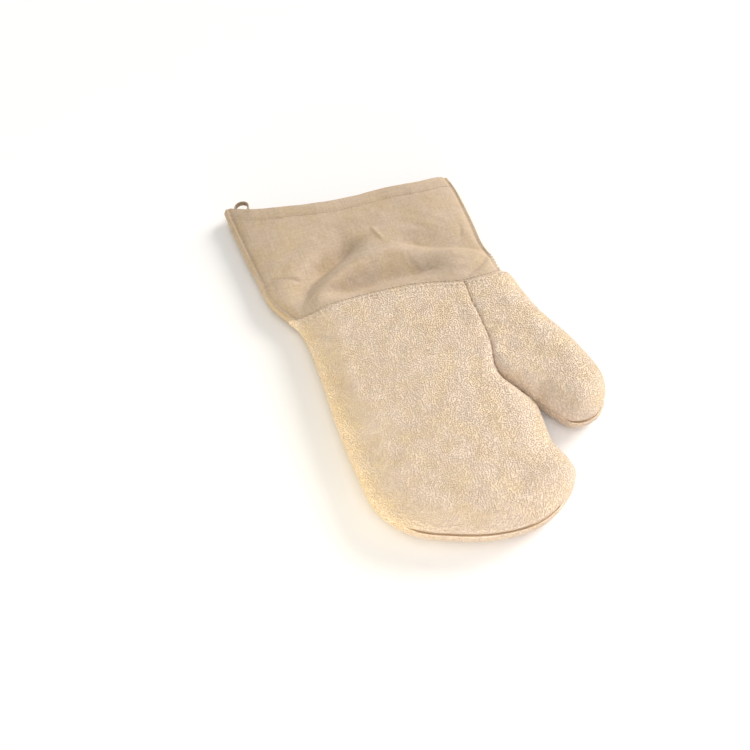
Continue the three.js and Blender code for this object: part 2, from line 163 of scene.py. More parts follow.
def unit(vectors):
    return vectors / np.linalg.norm(vectors, axis=-1, keepdims=True)


def profile(rows, key, place, name):  # a column of a table, on a smooth curve through its rows
    keys = np.array([row[key] for row in rows], float)
    values = np.array([row[name] for row in rows], float)
    before = np.maximum(np.arange(len(keys)) - 1, 0)
    after = np.minimum(np.arange(len(keys)) + 1, len(keys) - 1)
    slopes = (values[after] - values[before]) / (keys[after] - keys[before])
    b = np.clip(np.searchsorted(keys, place), 1, len(keys) - 1)
    a = b - 1
    span = keys[b] - keys[a]
    t = np.clip((place - keys[a]) / span, 0, 1)
    rise = t * t * (3 - 2 * t)
    bow = span * t * (1 - t) * ((1 - t) * slopes[a] - t * slopes[b])
    return values[a] + (values[b] - values[a]) * rise + bow


def smoothPath(knots, perSpan):  # centripetal curve through the knots
    ends = np.vstack([2 * knots[0] - knots[1], knots, 2 * knots[-1] - knots[-2]])
    t = (np.arange(perSpan) / perSpan)[:, None]
    spans = []
    for p0, p1, p2, p3 in zip(ends, ends[1:], ends[2:], ends[3:]):
        d0, d1, d2 = [math.sqrt(math.dist(p, q)) for p, q in ((p0, p1), (p1, p2), (p2, p3))]
        m1 = ((p1 - p0) / d0 - (p2 - p0) / (d0 + d1) + (p2 - p1) / d1) * d1
        m2 = ((p2 - p1) / d1 - (p3 - p1) / (d1 + d2) + (p3 - p2) / d2) * d1
        bend = 3 * (p2 - p1) - 2 * m1 - m2
        twist = 2 * (p1 - p2) + m1 + m2
        spans.append(p1 + m1 * t + bend * t**2 + twist * t**3)
    return np.vstack([*spans, knots[-1:]])


class SewnLine:
    def __init__(self, rows, perSpan=12):
        self.points = smoothPath(np.array([(row["x"], row["y"]) for row in rows], float), perSpan)
        steps = np.linalg.norm(np.diff(self.points, axis=0), axis=1)
        self.lengths = np.concatenate([[0.0], np.cumsum(steps)])
        self.knots = self.lengths[::perSpan]
        self.length = self.lengths[-1]
        self.rows = rows

    def lengthAt(self, place):
        return self.knots[[row.get("place") for row in self.rows].index(place)]

    def at(self, lengths):
        columns = [np.interp(lengths, self.lengths, self.points[:, k]) for k in (0, 1)]
        return np.stack(columns, -1)

    def across(self, lengths):  # unit vectors to the right of the line's direction
        after = self.at(np.minimum(lengths + 1, self.length))
        along = unit(after - self.at(np.maximum(lengths - 1, 0)))
        return np.stack([along[..., 1], -along[..., 0]], -1)

    def nearest(self, spots, chunk=3000):
        start, step = self.points[:-1], np.diff(self.points, axis=0)
        square = (step**2).sum(1)
        gap, along = np.empty(len(spots)), np.empty(len(spots))
        for i in range(0, len(spots), chunk):
            away = spots[i:i + chunk, None] - start
            share = np.clip((away * step).sum(2) / square, 0, 1)
            far = ((away - share[..., None] * step) ** 2).sum(2)
            best = far.argmin(1)
            rows = np.arange(len(best))
            gap[i:i + chunk] = np.sqrt(far[rows, best])
            along[i:i + chunk] = self.lengths[best] + share[rows, best] * np.sqrt(square[best])
        return gap, along


handLine, thumbLine = SewnLine(handEdge), SewnLine(thumbEdge)
seamLine, wristLine, hemLine = SewnLine(thumbSeam), SewnLine(wristSeam), SewnLine(hem)
seamRows = [{**row, "along": along} for row, along in zip(thumbSeam, seamLine.knots)]
seamOnWrist = wristLine.lengthAt("thumbSeam")


def quarterRound(share):
    t = np.clip(share, 0, 1)
    return np.sqrt(1 - (1 - t) ** 2)


def hump(distance, width):
    return np.exp(-((distance / width) ** 2))


def seamPull(along, side):
    return np.minimum(1, profile(seamRows, "along", along, side))


def rimWidth(along, wall, side):
    return wall * np.sqrt(1 - (1 - seamPull(along, side)) ** 2)


def seamShare(near, wall, side):  # share of the height that the thumb seam leaves
    gap, along = near
    width = profile(seamRows, "along", along, "width")
    inward = gap - rimWidth(along, wall, side)
    return 1 - seamPull(along, side) * (1 - quarterRound(inward / width))


def crease(depth, left, right, *path):  # a valley, or a ridge where the depth is positive
    return {"depth": depth, "left": left, "right": right, "line": SewnLine(table("x y", *path))}


# depth, widths of the banks to the left and right of the path, and the path
cuffFolds = [
    crease(-9.2, 12.0, 8.5,
           (-102, 47), (-94, 61), (-88, 70), (-74, 88), (-62, 96), (-44, 104), (-26, 113), (-16, 123)),
    crease(-3.3, 7.0, 6.0, (-82, 82), (-66, 93), (-52, 99), (-38, 105), (-22, 112), (-10, 119)),
    crease(4.0, 6.0, 8.0,
           (-80, 62), (-65, 75), (-51, 82), (-34, 87), (-22, 89), (-8, 89), (10, 87), (32, 81)),
    crease(-10.5, 14.0, 9.5, (-84, 76), (-68, 70), (-49, 66), (-24, 64), (0, 64), (22, 62), (52, 54)),
    crease(-6.0, 16.0, 5.0, (-2, 108), (12, 99), (27, 90), (42, 82), (60, 75), (80, 67), (100, 58)),
    crease(1.5, 2.2, 2.0, (-6, 122), (-3, 113), (1, 102)),
    crease(-1.7, 2.0, 2.0, (-114, 104), (-99, 99), (-89, 94), (-80, 86)),
    crease(-1.1, 1.8, 2.6, (-86, 61), (-81, 66), (-73, 70)),
    crease(-4.5, 4.0, 3.5, (48, 36), (62, 44), (72, 50), (82, 60), (92, 72)),
    crease(-1.2, 1.6, 2.4, (73, 101), (70, 92), (66, 82)),
    crease(-2.2, 8.0, 9.0, (-96, 112), (-72, 127), (-46, 132), (-16, 124)),
    crease(-2.4, 9.0, 7.0, (-78, 66), (-58, 64), (-36, 64), (-12, 66)),
]
handCreases = [
    crease(-1.2, 2.4, 2.4, (47, -17), (54, -18), (61, -19)),
    crease(-0.8, 5.0, 5.0, (49, -43), (58, -48), (67, -53)),
    crease(-0.7, 7.0, 7.0, (-99, -39), (-91, -43), (-83, -47)),
    crease(-2.6, 3.6, 3.8, (39, -56), (42, -68), (51, -80), (59, -92)),
]

creaseForm = {
    "taper": 0.3,  # share of its length over which a crease begins, and ends
    "steepness": 1.6,
}


def creaseDepth(spots, creases):
    total = np.zeros(len(spots))
    for fold in creases:
        line = fold["line"]
        gap, along = line.nearest(spots)
        side = ((spots - line.at(along)) * line.across(along)).sum(1)
        width = np.where(side > 0, fold["right"], fold["left"])
        taper = creaseForm["taper"] * line.length
        ends = np.clip(np.minimum(along, line.length - along) / taper, 0, 1)
        bank = np.exp(-((gap / width) ** creaseForm["steepness"]))
        total += fold["depth"] * bank * np.sin(ends * math.pi / 2) ** 2
    return total


def dome(spots):
    across = (spots[:, 0] - palmDome["x"]) / palmDome["halfWidth"]
    along = (spots[:, 1] - palmDome["y"]) / palmDome["halfLength"]
    return palmDome["rise"] * np.maximum(0, 1 - across**2 - along**2) ** 2


rippling = {
    "waves": 14,
    "lengths": (0.6, 1.7),  # shortest and longest, as shares of the wavelength asked for
}


def ripples(spots, seed, wavelength, height):  # soft unevenness of handled cloth
    draw = np.random.default_rng(seed)
    total = np.zeros(len(spots))
    for _ in range(rippling["waves"]):
        angle, phase = draw.uniform(0, 2 * math.pi, 2)
        pitch = 2 * math.pi / (wavelength * draw.uniform(*rippling["lengths"]))
        total += np.sin(spots @ (np.cos(angle), np.sin(angle)) * pitch + phase)
    return height * total / math.sqrt(rippling["waves"])


def edgeDistance(spots):
    return np.minimum(handLine.nearest(spots)[0], thumbLine.nearest(spots)[0])


dimpling = {
    "drifts": ((17, 0.9), (6.1, 0.6)),  # how unevenly the stitches lie: wavelength, size
    "drop": (0.35, 1.2),  # of a seam's rounding: the part everywhere, the part in the dimples
    "seeds": {"thumbFront": 31, "wristFront": 32, "stitches": 33, "thumbBack": 34, "wristBack": 35},
}


def dimples(along, pitch, place):  # 0 to 1, where stitches pull the cloth down
    shift = np.random.default_rng(dimpling["seeds"][place]).uniform(0, 2 * math.pi, 3)
    drift = sum(size * np.sin(along / wavelength + turn)
                for (wavelength, size), turn in zip(dimpling["drifts"], shift))
    return 0.5 + 0.5 * np.cos(2 * math.pi * along / pitch + drift + shift[2])


def seamDrop(near, look, place):  # how far the cloth is rounded down to the seam
    gap, along = near
    drop, reach, pitch = look
    everywhere, inDimples = dimpling["drop"]
    share = everywhere + inDimples * dimples(along, pitch, place)
    return drop * (1 - quarterRound(gap / reach)) * share


# How the sewn cloth differs from its plain form: rounded over at the seams, uneven, puckered
terryShape = {
    "thumbSeam": (1.9, 2.0, 6.5),  # drop and reach of the rounding, distance between dimples
    "wristSeam": (1.0, 2.4, 5.0),
    "stitchDimple": (1.1, 3.8, 1.3, 4.4),  # depth, distance from the canvas, width, pitch
    "edgeFade": 12,  # how far in from the edge the seams' rounding is whole
    "lumps": (27.0, 0.4),  # wavelength, height
    "lumpFade": (25, 12),  # distances from the edge and the wrist seam over which they begin
    "floorLumps": (2, 10, 40),  # times as high, and where they are whole and where they end
    "frontSeed": 11,
    "backSeed": 12,
}


def bodyAt(spots, name):
    return profile(bodyProfile, "y", spots[:, 1], name)


def terryTop(spots, wall):
    seam = bodyAt(spots, "seam") + mitt["seamGap"] / 2 + (0 if wall else mitt["terryLip"])
    outside = edgeDistance(spots)
    edge = quarterRound((outside - wall) / (bodyAt(spots, "topRound") - wall))
    wristNear = wristLine.nearest(spots)
    wrist = wristNear[0]
    seamNear = seamLine.nearest(spots)
    folded = creaseDepth(spots, cuffFolds) * mitt["foldShareAtWrist"]
    folded = folded * hump(wrist, mitt["foldReachOnTerry"])
    lipHeight, lipWidth = mitt["wristLip"]
    lip = 0 if wall else lipHeight * (1 - quarterRound(wrist / lipWidth))
    height = bodyAt(spots, "top") + dome(spots) + folded - lip - wall - seam
    top = seam + height * edge * seamShare(seamNear, wall, "frontPull")
    if wall:
        return top
    inner = quarterRound(outside / terryShape["edgeFade"])
    top -= seamDrop(seamNear, terryShape["thumbSeam"], "thumbFront") * inner
    top -= seamDrop(wristNear, terryShape["wristSeam"], "wristFront") * inner
    depth, place, width, pitch = terryShape["stitchDimple"]
    top -= depth * hump(wrist - place, width) * dimples(wristNear[1], pitch, "stitches") * inner
    top += creaseDepth(spots, handCreases) * inner
    fromEdge, fromWrist = terryShape["lumpFade"]
    inner = np.clip(outside / fromEdge, 0, 1) * np.clip(wrist / fromWrist, 0, 1)
    return top + ripples(spots, terryShape["frontSeed"], *terryShape["lumps"]) * inner


def terryFloor(spots, wall):
    seam = bodyAt(spots, "seam") - mitt["seamGap"] / 2 - (0 if wall else mitt["terryLip"])
    outside = edgeDistance(spots)
    edge = quarterRound((outside - wall) / (bodyAt(spots, "floorRound") - wall))
    seamNear = seamLine.nearest(spots)
    floor = seam - (seam - wall) * edge * seamShare(seamNear, wall, "backPull")
    if wall:
        return floor
    inner = quarterRound(outside / terryShape["edgeFade"])
    floor += seamDrop(seamNear, terryShape["thumbSeam"], "thumbBack") * inner
    floor += seamDrop(wristLine.nearest(spots), terryShape["wristSeam"], "wristBack") * inner
    wavelength, rise = terryShape["lumps"]
    times, whole, end = terryShape["floorLumps"]
    waves = np.maximum(0, ripples(spots, terryShape["backSeed"], wavelength, times * rise))
    return floor + waves * np.clip(1 - outside / end, 0, 1) * np.clip(outside / whole, 0, 1)


canvasShape = {
    "rumple": (17.0, 0.18),  # wavelength, height
    "floorRumple": (2, 15),  # times as high, and the distance from the edge over which it begins
    "pucker": (7.0, 0.16, 9),  # along the wrist seam: wavelength, height, reach
    "hemPucker": (8.0, 0.16, 4),
    "stitchGroove": (0.16, 1.8),  # depth, width
    "lip": 0.5,  # rounding of the edges along the side seams
    "floorClear": 0.02,
    "frontSeed": 21,
    "backSeed": 22,
}


def canvasTop(spots, wall, inHem):
    outward = inHem * (mitt["hemWall"] - mitt["canvasWall"]) / 2
    depth = wall + outward if wall else -outward
    seam = bodyAt(spots, "seam") + mitt["seamGap"] / 2
    edge = edgeDistance(spots) - wall
    rounded = quarterRound(edge / (bodyAt(spots, "topRound") - wall))
    wrist = wristLine.nearest(spots)[0]
    hemStitch = hemLine.nearest(spots)[0] - mitt["hemDepth"]
    share = 1 - (1 - mitt["foldShareAtWrist"]) * hump(wrist, mitt["foldReachOnTerry"])
    seed = canvasShape["frontSeed"]
    folded = creaseDepth(spots, cuffFolds) * share + ripples(spots, seed, *canvasShape["rumple"])
    for look, distance in (("pucker", wrist), ("hemPucker", hemStitch)):
        wavelength, rise, reach = canvasShape[look]
        folded = folded + ripples(spots, seed, wavelength, rise) * hump(distance, reach)
    if not wall:
        grooveDepth, grooveWidth = canvasShape["stitchGroove"]
        folded = folded - grooveDepth * hump(hemStitch, grooveWidth)
    height = bodyAt(spots, "top") + dome(spots) + folded - mitt["cuffStep"] - depth - seam
    bead = sideBead["height"] * hump(edge - sideBead["centre"], sideBead["width"])
    groove = sideGroove["height"] * hump(edge - sideGroove["centre"], sideGroove["width"])
    return seam + height * rounded + (bead + groove) * np.clip(edge / sideBead["centre"], 0, 1)


def canvasFloor(spots, wall, inHem):
    depth = np.where(inHem & (wall > 0), mitt["hemWall"], wall)
    seam = bodyAt(spots, "seam") - mitt["seamGap"] / 2
    outside = edgeDistance(spots)
    rounded = quarterRound((outside - wall) / (bodyAt(spots, "floorRound") - wall))
    wavelength, rise = canvasShape["rumple"]
    times, begun = canvasShape["floorRumple"]
    waves = np.maximum(0, ripples(spots, canvasShape["backSeed"], wavelength, times * rise))
    return seam - (seam - depth) * rounded + waves * np.clip(outside / begun, 0, 1)


def spread(length, startSteps, endSteps, step):  # shares of a length, closer together near its ends
    start = startSteps[-1] if len(startSteps) else 0
    end = endSteps[-1] if len(endSteps) else 0
    count = math.ceil((length - start - end) / step)
    even = np.linspace(start, length - end, count + 1)
    ends = [length - place for place in endSteps][::-1]
    places = [*startSteps[:-1], *even, *ends[1:]]
    if len(startSteps):
        places.insert(0, 0)
    if len(endSteps):
        places.append(length)
    return np.array(places) / length


def evenly(distance):
    return lambda places: np.full(len(places), distance)


def stretch(line, start, end, shares, inward):  # points of part of a line, moved inward from it
    places = start + (end - start) * shares
    return line.at(places) - line.across(places) * np.asarray(inward(places)).reshape(-1, 1)


def fill(left, right, near, far, across, along):  # a grid between four rows of points
    u, v = across[None, :, None], along[:, None, None]
    sides = left[:, None] * (1 - u) + right[:, None] * u
    ends = near[None] * (1 - v) + far[None] * v
    corners = (near[0] * (1 - u) + near[-1] * u) * (1 - v) + (far[0] * (1 - u) + far[-1] * u) * v
    return sides + ends - corners


def seamAndPerimeter(mesh, line, crotch, tip, towardHand, wall, side):
    freeLength = abs(tip - crotch)
    sideLength = seamLine.length + freeLength
    onSeam = spread(seamLine.length, mesh["lip"], [], mesh["rowStep"])
    onFree = spread(freeLength, [], mesh["edge"], mesh["rowStep"])
    inward = lambda place: -towardHand * (mitt["seamGap"] / 2 + rimWidth(place, wall, side))
    seamPoints = stretch(seamLine, 0, seamLine.length, onSeam, inward)
    freePoints = stretch(line, crotch, tip, onFree, evenly(wall))
    freePoints[0] = (seamPoints[-1] + freePoints[0]) / 2
    seamPoints[0] -= (0, mitt["seamGap"] / 2)
    points = np.vstack([seamPoints[:-1], freePoints])
    along = np.concatenate([
        onSeam * seamLine.length / sideLength,
        (seamLine.length + onFree[1:] * freeLength) / sideLength,
    ])
    return points, along, len(onSeam) - 1


# Each plan gives a panel's grid of points seen from above, and which of them are on the
# perimeter. The thumb's panel mirrors the hand's: its first column is on the thumb seam.
def terryPlan(mesh, wall, side, line):
    onHand = line is handLine
    tipStart, tipEnd = line.lengthAt("tipStart"), line.lengthAt("tipEnd")
    if onHand:
        crotch, tip, outerTip, towardHand = line.length, tipEnd, tipStart, 1
        across = spread(seamOnWrist, mesh["edge"], mesh["seamEdge"], mesh["step"])
        near = stretch(wristLine, wall, seamOnWrist, across, evenly(-mitt["seamGap"] / 2))
        seamColumn, outerColumn = len(across) - 1, 0
    else:
        crotch, tip, outerTip, towardHand = 0, tipStart, tipEnd, -1
        across = spread(wristLine.length - seamOnWrist, mesh["seamEdge"], mesh["edge"], mesh["step"])
        near = stretch(wristLine, seamOnWrist, wristLine.length - wall, across, evenly(-mitt["seamGap"] / 2))
        seamColumn, outerColumn = 0, len(across) - 1
    seamward, along, crotchRow = seamAndPerimeter(mesh, line, crotch, tip, towardHand, wall, side)
    outward = stretch(line, line.lengthAt("wrist"), outerTip, along, evenly(wall))
    far = stretch(line, tipStart, tipEnd, across, evenly(wall))
    near[seamColumn], outward[0] = seamward[0], near[outerColumn]
    left, right = (outward, seamward) if onHand else (seamward, outward)
    j, i = np.mgrid[:len(along), :len(across)]
    onPerimeter = (i == outerColumn) | (j == len(along) - 1) | ((i == seamColumn) & (j >= crotchRow))
    return fill(left, right, near, far, across, along), onPerimeter


def handPlan(mesh, wall, side):
    return terryPlan(mesh, wall, side, handLine)


def thumbPlan(mesh, wall, side):
    return terryPlan(mesh, wall, side, thumbLine)


def cuffPlan(mesh, wall, side):
    depth, run = mitt["hemDepth"], mitt["hemStepRun"]
    wristLeft = handLine.lengthAt("wrist")
    hemSteps = [*mesh["hemEdge"], depth - run / 2, depth + run / 2]
    along = spread(wristLeft, mesh["seamEdge"], hemSteps, mesh["rowStep"])
    across = spread(wristLine.length, mesh["edge"], mesh["edge"], mesh["step"])
    left = stretch(handLine, wristLeft, 0, along, evenly(wall))
    right = stretch(thumbLine, thumbLine.lengthAt("wrist"), thumbLine.length, along, evenly(wall))
    near = stretch(wristLine, wall, wristLine.length - wall, across, evenly(mitt["seamGap"] / 2))
    far = stretch(hemLine, wall, hemLine.length - wall, across, evenly(0.0))
    left[0], right[0] = near[0], near[-1]
    left[-1], right[-1] = far[0], far[-1]
    j, i = np.mgrid[:len(along), :len(across)]
    return fill(left, right, near, far, across, along), (i == 0) | (i == len(across) - 1)


def ringPlaces(rows, columns):  # row and column of each point once round a grid's border
    over, down = np.arange(columns - 1), np.arange(rows - 1)
    return np.vstack([
        np.stack([0 * over, over], 1),
        np.stack([down, 0 * down + columns - 1], 1),
        np.stack([0 * over + rows - 1, columns - 1 - over], 1),
        np.stack([rows - 1 - down, 0 * down], 1),
    ])


def gridNormals(grid):
    normals = np.cross(np.gradient(grid, axis=1), np.gradient(grid, axis=0))
    return normals / np.maximum(np.linalg.norm(normals, axis=2, keepdims=True), 1e-9)


def gridQuads(rows, columns):
    index = np.arange(rows * columns).reshape(rows, columns)
    return np.stack([index[:-1, :-1], index[:-1, 1:], index[1:, 1:], index[1:, :-1]], -1).reshape(-1, 4)


# The seam round the sides, which draws the cloth in. At the tips the upper panel stands back
# from the lower one, with a deep narrow gap between them.
sideSeam = {
    "pinch": 1.6,
    "reach": 3.2,  # how far up and down the pinch shows
    "fromWrist": 14.0,  # over which it begins
    "tipInset": 3.0,
    "tipFade": 14.0,
    "tipReach": 30.0,  # how far in from the perimeter a spot still counts as at the tip
    "trench": 4.5,  # depth of the gap
    "trenchAcross": (0.57, 0.22),  # its place and width, as shares of the wall's thickness
    "bare": 1.4,  # how far from the seam the loops begin
}


def tipShare(spots):  # 1 along the fingertips and the tip of the thumb, 0 elsewhere
    share = np.zeros(len(spots))
    for line in (handLine, thumbLine):
        gap, along = line.nearest(spots)
        inside = np.minimum(along - line.lengthAt("tipStart"), line.lengthAt("tipEnd") - along)
        atTip = np.clip(inside / sideSeam["tipFade"] + 0.5, 0, 1) * (gap < sideSeam["tipReach"])
        share = np.maximum(share, atTip)
    return share


def pinched(grid, seamSide):  # the grid drawn in along the side seam
    spots = grid[..., :2].reshape(-1, 2)
    onHand, alongHand = handLine.nearest(spots)
    onThumb, alongThumb = thumbLine.nearest(spots)
    nearHand = (onHand < onThumb)[:, None]
    inward = -np.where(nearHand, handLine.across(alongHand), thumbLine.across(alongThumb))
    share = hump(grid[..., 2].ravel() - bodyAt(spots, "seam"), sideSeam["reach"])
    share *= np.clip(1 - np.minimum(onHand, onThumb) / (3 * sideSeam["reach"]), 0, 1)
    share *= np.clip(wristLine.nearest(spots)[0] / sideSeam["fromWrist"], 0, 1)
    tip = tipShare(spots)
    depth = sideSeam["pinch"] * (1 - tip) + (sideSeam["tipInset"] if seamSide > 0 else 0) * tip
    moved = grid.copy()
    moved[..., :2] += (inward * (depth * share)[:, None]).reshape(*grid.shape[:2], 2)
    return moved


# A short cloth simulation, in which the cuff's canvas buckles between its seams
settling = {
    "frames": 14,
    "spare": 0.012,  # share by which the cloth is longer than its place
    "stiffness": 15.0,
    "bending": 0.05,
    "mass": 0.1,
    "broad": 9.0,  # movements broader than this are left out, in millimetres
    "share": 0.4,  # how much of the rest is kept
    "cap": 0.8,  # most that a point moves
    "fade": 12.0,  # distance from the seams over which it dies away
}


def blurred(values, radius):  # a running mean along both ways of a grid, three times over
    for _ in range(3):
        for axis in (0, 1):
            padded = np.pad(values, [(radius + 1, radius) if k == axis else (0, 0) for k in (0, 1)], "edge")
            total = np.cumsum(padded, axis=axis)
            width = 2 * radius + 1
            values = (np.take(total, range(width, total.shape[axis]), axis)
                      - np.take(total, range(0, total.shape[axis] - width), axis)) / width
    return values


def addObject(name, data):
    thing = bpy.data.objects.new(name, data)
    bpy.context.scene.collection.objects.link(thing)
    return thing


def settle(grid, normals, step):  # how far each point of the grid moves along its normal
    rows, columns = grid.shape[:2]
    mesh = bpy.data.meshes.new("settlingCanvas")
    mesh.from_pydata((grid.reshape(-1, 3) * mm).tolist(), [], gridQuads(rows, columns).tolist())
    canvas = addObject("settlingCanvas", mesh)
    index = np.arange(rows * columns).reshape(rows, columns)
    border = np.unique(np.concatenate([index[0], index[-1], index[:, 0], index[:, -1]]))
    canvas.vertex_groups.new(name="sewn").add(border.tolist(), 1.0, "REPLACE")
    cloth = canvas.modifiers.new("settling", "CLOTH").settings
    cloth.vertex_group_mass = "sewn"
    cloth.mass = settling["mass"]
    cloth.shrink_min = -settling["spare"]
    cloth.tension_stiffness = cloth.compression_stiffness = cloth.shear_stiffness = settling["stiffness"]
    cloth.bending_stiffness = settling["bending"]
    cloth.effector_weights.gravity = 0
    scene = bpy.context.scene
    for number in range(1, settling["frames"] + 1):
        scene.frame_set(number)
    places = np.empty(rows * columns * 3)
    evaluated = canvas.evaluated_get(bpy.context.evaluated_depsgraph_get())
    evaluated.data.vertices.foreach_get("co", places)
    moved = ((places.reshape(grid.shape) / mm - grid) * normals).sum(2)
    bpy.data.objects.remove(canvas)
    bpy.data.meshes.remove(mesh)
    scene.frame_set(1)
    print("canvas settled, moved by up to", round(float(np.abs(moved).max()), 2), "mm")
    moved = settling["share"] * (moved - blurred(moved, round(settling["broad"] / step / 2)))
    return settling["cap"] * np.tanh(moved / settling["cap"])


def raised(cut, grid, onPerimeter, inHem, wall, lip):  # a plan's points at their heights
    spots = grid.reshape(-1, 2)
    hemMask = [inHem.ravel()] if cut["plan"] is cuffPlan else []
    edge = bodyAt(spots, "seam") + cut["side"] * (mitt["seamGap"] / 2 + lip)
    z = np.where(onPerimeter.ravel(), edge, cut["heights"](spots, wall, *hemMask))
    return np.concatenate([spots, z[:, None]], 1).reshape(*grid.shape[:2], 3)


def buckling(plan, outer, normals, step):  # how far the canvas moves, less toward its seams
    spots = plan.reshape(-1, 2)
    clear = np.minimum(edgeDistance(spots), wristLine.nearest(spots)[0])
    clear = np.minimum(clear, hemLine.nearest(spots)[0] - mitt["hemDepth"])
    share = np.clip(clear / settling["fade"], 0, 1).reshape(plan.shape[:2])
    return settle(outer, normals, step) * share**2 * (3 - 2 * share)


def sunk(plan, outer, normals, sewnEdge, side):
    # The cloth lies as deep as the pile is high, less where it is sewn to another panel.
    spots = plan.reshape(-1, 2)
    sewn = np.minimum(wristLine.nearest(spots)[0], seamLine.nearest(spots)[0])
    least, reach = pile["sinkAtSeam"]
    share = (least + (1 - least) * quarterRound(sewn / reach)).reshape(plan.shape[:2])
    direction = normals * share[..., None]
    direction[sewnEdge] = (0, 0, least * side)
    return outer - direction * pile["sink"]


def rolledRim(outer, inner, trench, steps):  # rings of points from the outer to the inner face
    trenchPlace, trenchWidth = sideSeam["trenchAcross"]
    rings = []
    for turn in np.linspace(0, math.pi / 2, steps + 1)[1:]:
        share = 1 - math.cos(turn)
        ring = outer + (inner - outer) * share
        ring[:, 2] = outer[:, 2] + (inner[:, 2] - outer[:, 2]) * math.sin(turn)
        ring[:, 2] -= trench * hump(share - trenchPlace, trenchWidth)
        rings.append(ring)
    return rings


def innerFaces(keptRows, keptColumns, border, base):  # on the border, the rim's last ring is used
    def vertex(j, i):
        if (j, i) in border:
            return border[(j, i)]
        return base + keptRows.index(j) * len(keptColumns) + keptColumns.index(i)

    faces = []
    for a, c in zip(keptRows, keptRows[1:]):
        for b, d in zip(keptColumns, keptColumns[1:]):
            face = [vertex(a, i) for i in (range(b, d) if a == 0 else [b])]
            face += [vertex(j, d) for j in (range(a, c) if d == keptColumns[-1] else [a])]
            face += [vertex(c, i) for i in (range(d, b, -1) if c == keptRows[-1] else [d])]
            face += [vertex(j, b) for j in (range(c, a, -1) if b == 0 else [c])]
            faces.append(face[::-1])
    return faces


def buildPanel(cut, mesh):
    # One panel as a closed wall: outer grid, rolled rim, and an inner face with fewer points.
    side, wall, rimSteps = cut["side"], mesh["wall"], mesh["rimSteps"]
    outerPlan, onPerimeter = cut["plan"](mesh, 0.0, cut["pull"])
    innerPlan, _ = cut["plan"](mesh, wall, cut["pull"])
    rows, columns = onPerimeter.shape
    inHem = np.zeros((rows, columns), bool)
    if mesh["hemEdge"]:
        inHem[rows - len(mesh["hemEdge"]) - 2:] = True
    outer = raised(cut, outerPlan, onPerimeter, inHem, 0.0, mesh["edgeLip"])
    if mesh["piled"]:
        outer = pinched(outer, side)
    normals = gridNormals(outer)
    if normals[rows // 2, columns // 2, 2] * side < 0:
        normals = -normals
    buckled = np.zeros((rows, columns))
    if mesh["settled"]:
        buckled = buckling(outerPlan, outer, normals, mesh["step"])
        outer = outer + normals * buckled[..., None]
        normals = gridNormals(outer) * np.sign((gridNormals(outer) * normals).sum(2, keepdims=True))
    ring = tuple(ringPlaces(rows, columns).T)
    ringPerimeter = onPerimeter[ring]
    cloth = outer
    if mesh["piled"]:
        sewnEdge = np.zeros((rows, columns), bool)
        sewnEdge[ring] = ~ringPerimeter
        cloth = sunk(outerPlan, outer, normals, sewnEdge, side)
    keptRows = sorted({*range(0, rows, mesh["skip"]), rows - 1})
    keptColumns = sorted({*range(0, columns, mesh["skip"]), columns - 1})
    pick = np.ix_(keptRows, keptColumns)
    inner = raised(cut, innerPlan[pick], onPerimeter[pick], inHem[pick], wall, 0)
    inner += normals[pick] * buckled[pick][..., None]
    ringInner = raised(cut, innerPlan[ring][None], ringPerimeter[None], inHem[ring][None], wall, 0)[0]
    trench = np.zeros(len(ringInner))
    if mesh["piled"] and side < 0:
        trench = sideSeam["trench"] * tipShare(cloth[ring][:, :2]) * ringPerimeter
    rim = rolledRim(cloth[ring], ringInner, trench, rimSteps)
    points = np.vstack([cloth.reshape(-1, 3), *rim, inner.reshape(-1, 3)])
    quads = gridQuads(rows, columns)
    ringIndex = [ring[0] * columns + ring[1]]
    ringIndex += [rows * columns + np.arange(len(ringInner)) + k * len(ringInner) for k in range(rimSteps)]
    rimQuads = [np.stack([np.roll(a, -1), a, b, np.roll(b, -1)], -1)
                for a, b in zip(ringIndex, ringIndex[1:])]
    border = dict(zip(zip(*(axis.tolist() for axis in ring)), ringIndex[-1].tolist()))
    innerQuads = innerFaces(keptRows, keptColumns, border, len(points) - inner[..., 0].size)
    faces = [*quads.tolist(), *np.vstack(rimQuads).tolist(), *innerQuads]
    sample = quads[(rows // 2) * (columns - 1) + columns // 2]
    facing = np.cross(*(points[sample[[1, 2]]] - points[sample[0]]))[2] * side
    if facing < 0:
        faces = [face[::-1] for face in faces]
        quads = quads[:, ::-1]
    used = np.unique(np.concatenate([np.array(face) for face in faces]))
    renumber = np.full(len(points), -1)
    renumber[used] = np.arange(len(used))
    faces = [renumber[face].tolist() for face in faces]
    return {"points": points[used], "faces": faces, "outer": outer, "normals": normals,
            "pilePoints": points, "pileTriangles": np.vstack([quads[:, [0, 1, 2]], quads[:, [0, 2, 3]]])}


def newPiece(name, points, faces, material):
    mesh = bpy.data.meshes.new(name)
    place = (np.asarray(points) - mitt["centre"]) * mm
    mesh.from_pydata(place.tolist(), [], faces if isinstance(faces, list) else faces.tolist())
    mesh.polygons.foreach_set("use_smooth", np.full(len(mesh.polygons), True))
    mesh.materials.append(material)
    piece = addObject(name, mesh)
    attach(piece, body)
    return piece


def tubeFaces(rings, sides, closed=True):  # of a tube whose points come ring by ring
    faces = []
    for ring in range(rings - 1):
        for part in range(sides):
            a, b = ring * sides + part, ring * sides + (part + 1) % sides
            faces.append((a, b, b + sides, a + sides))
    if closed:
        faces += [tuple(range(sides))[::-1], tuple(range((rings - 1) * sides, rings * sides))]
    return faces


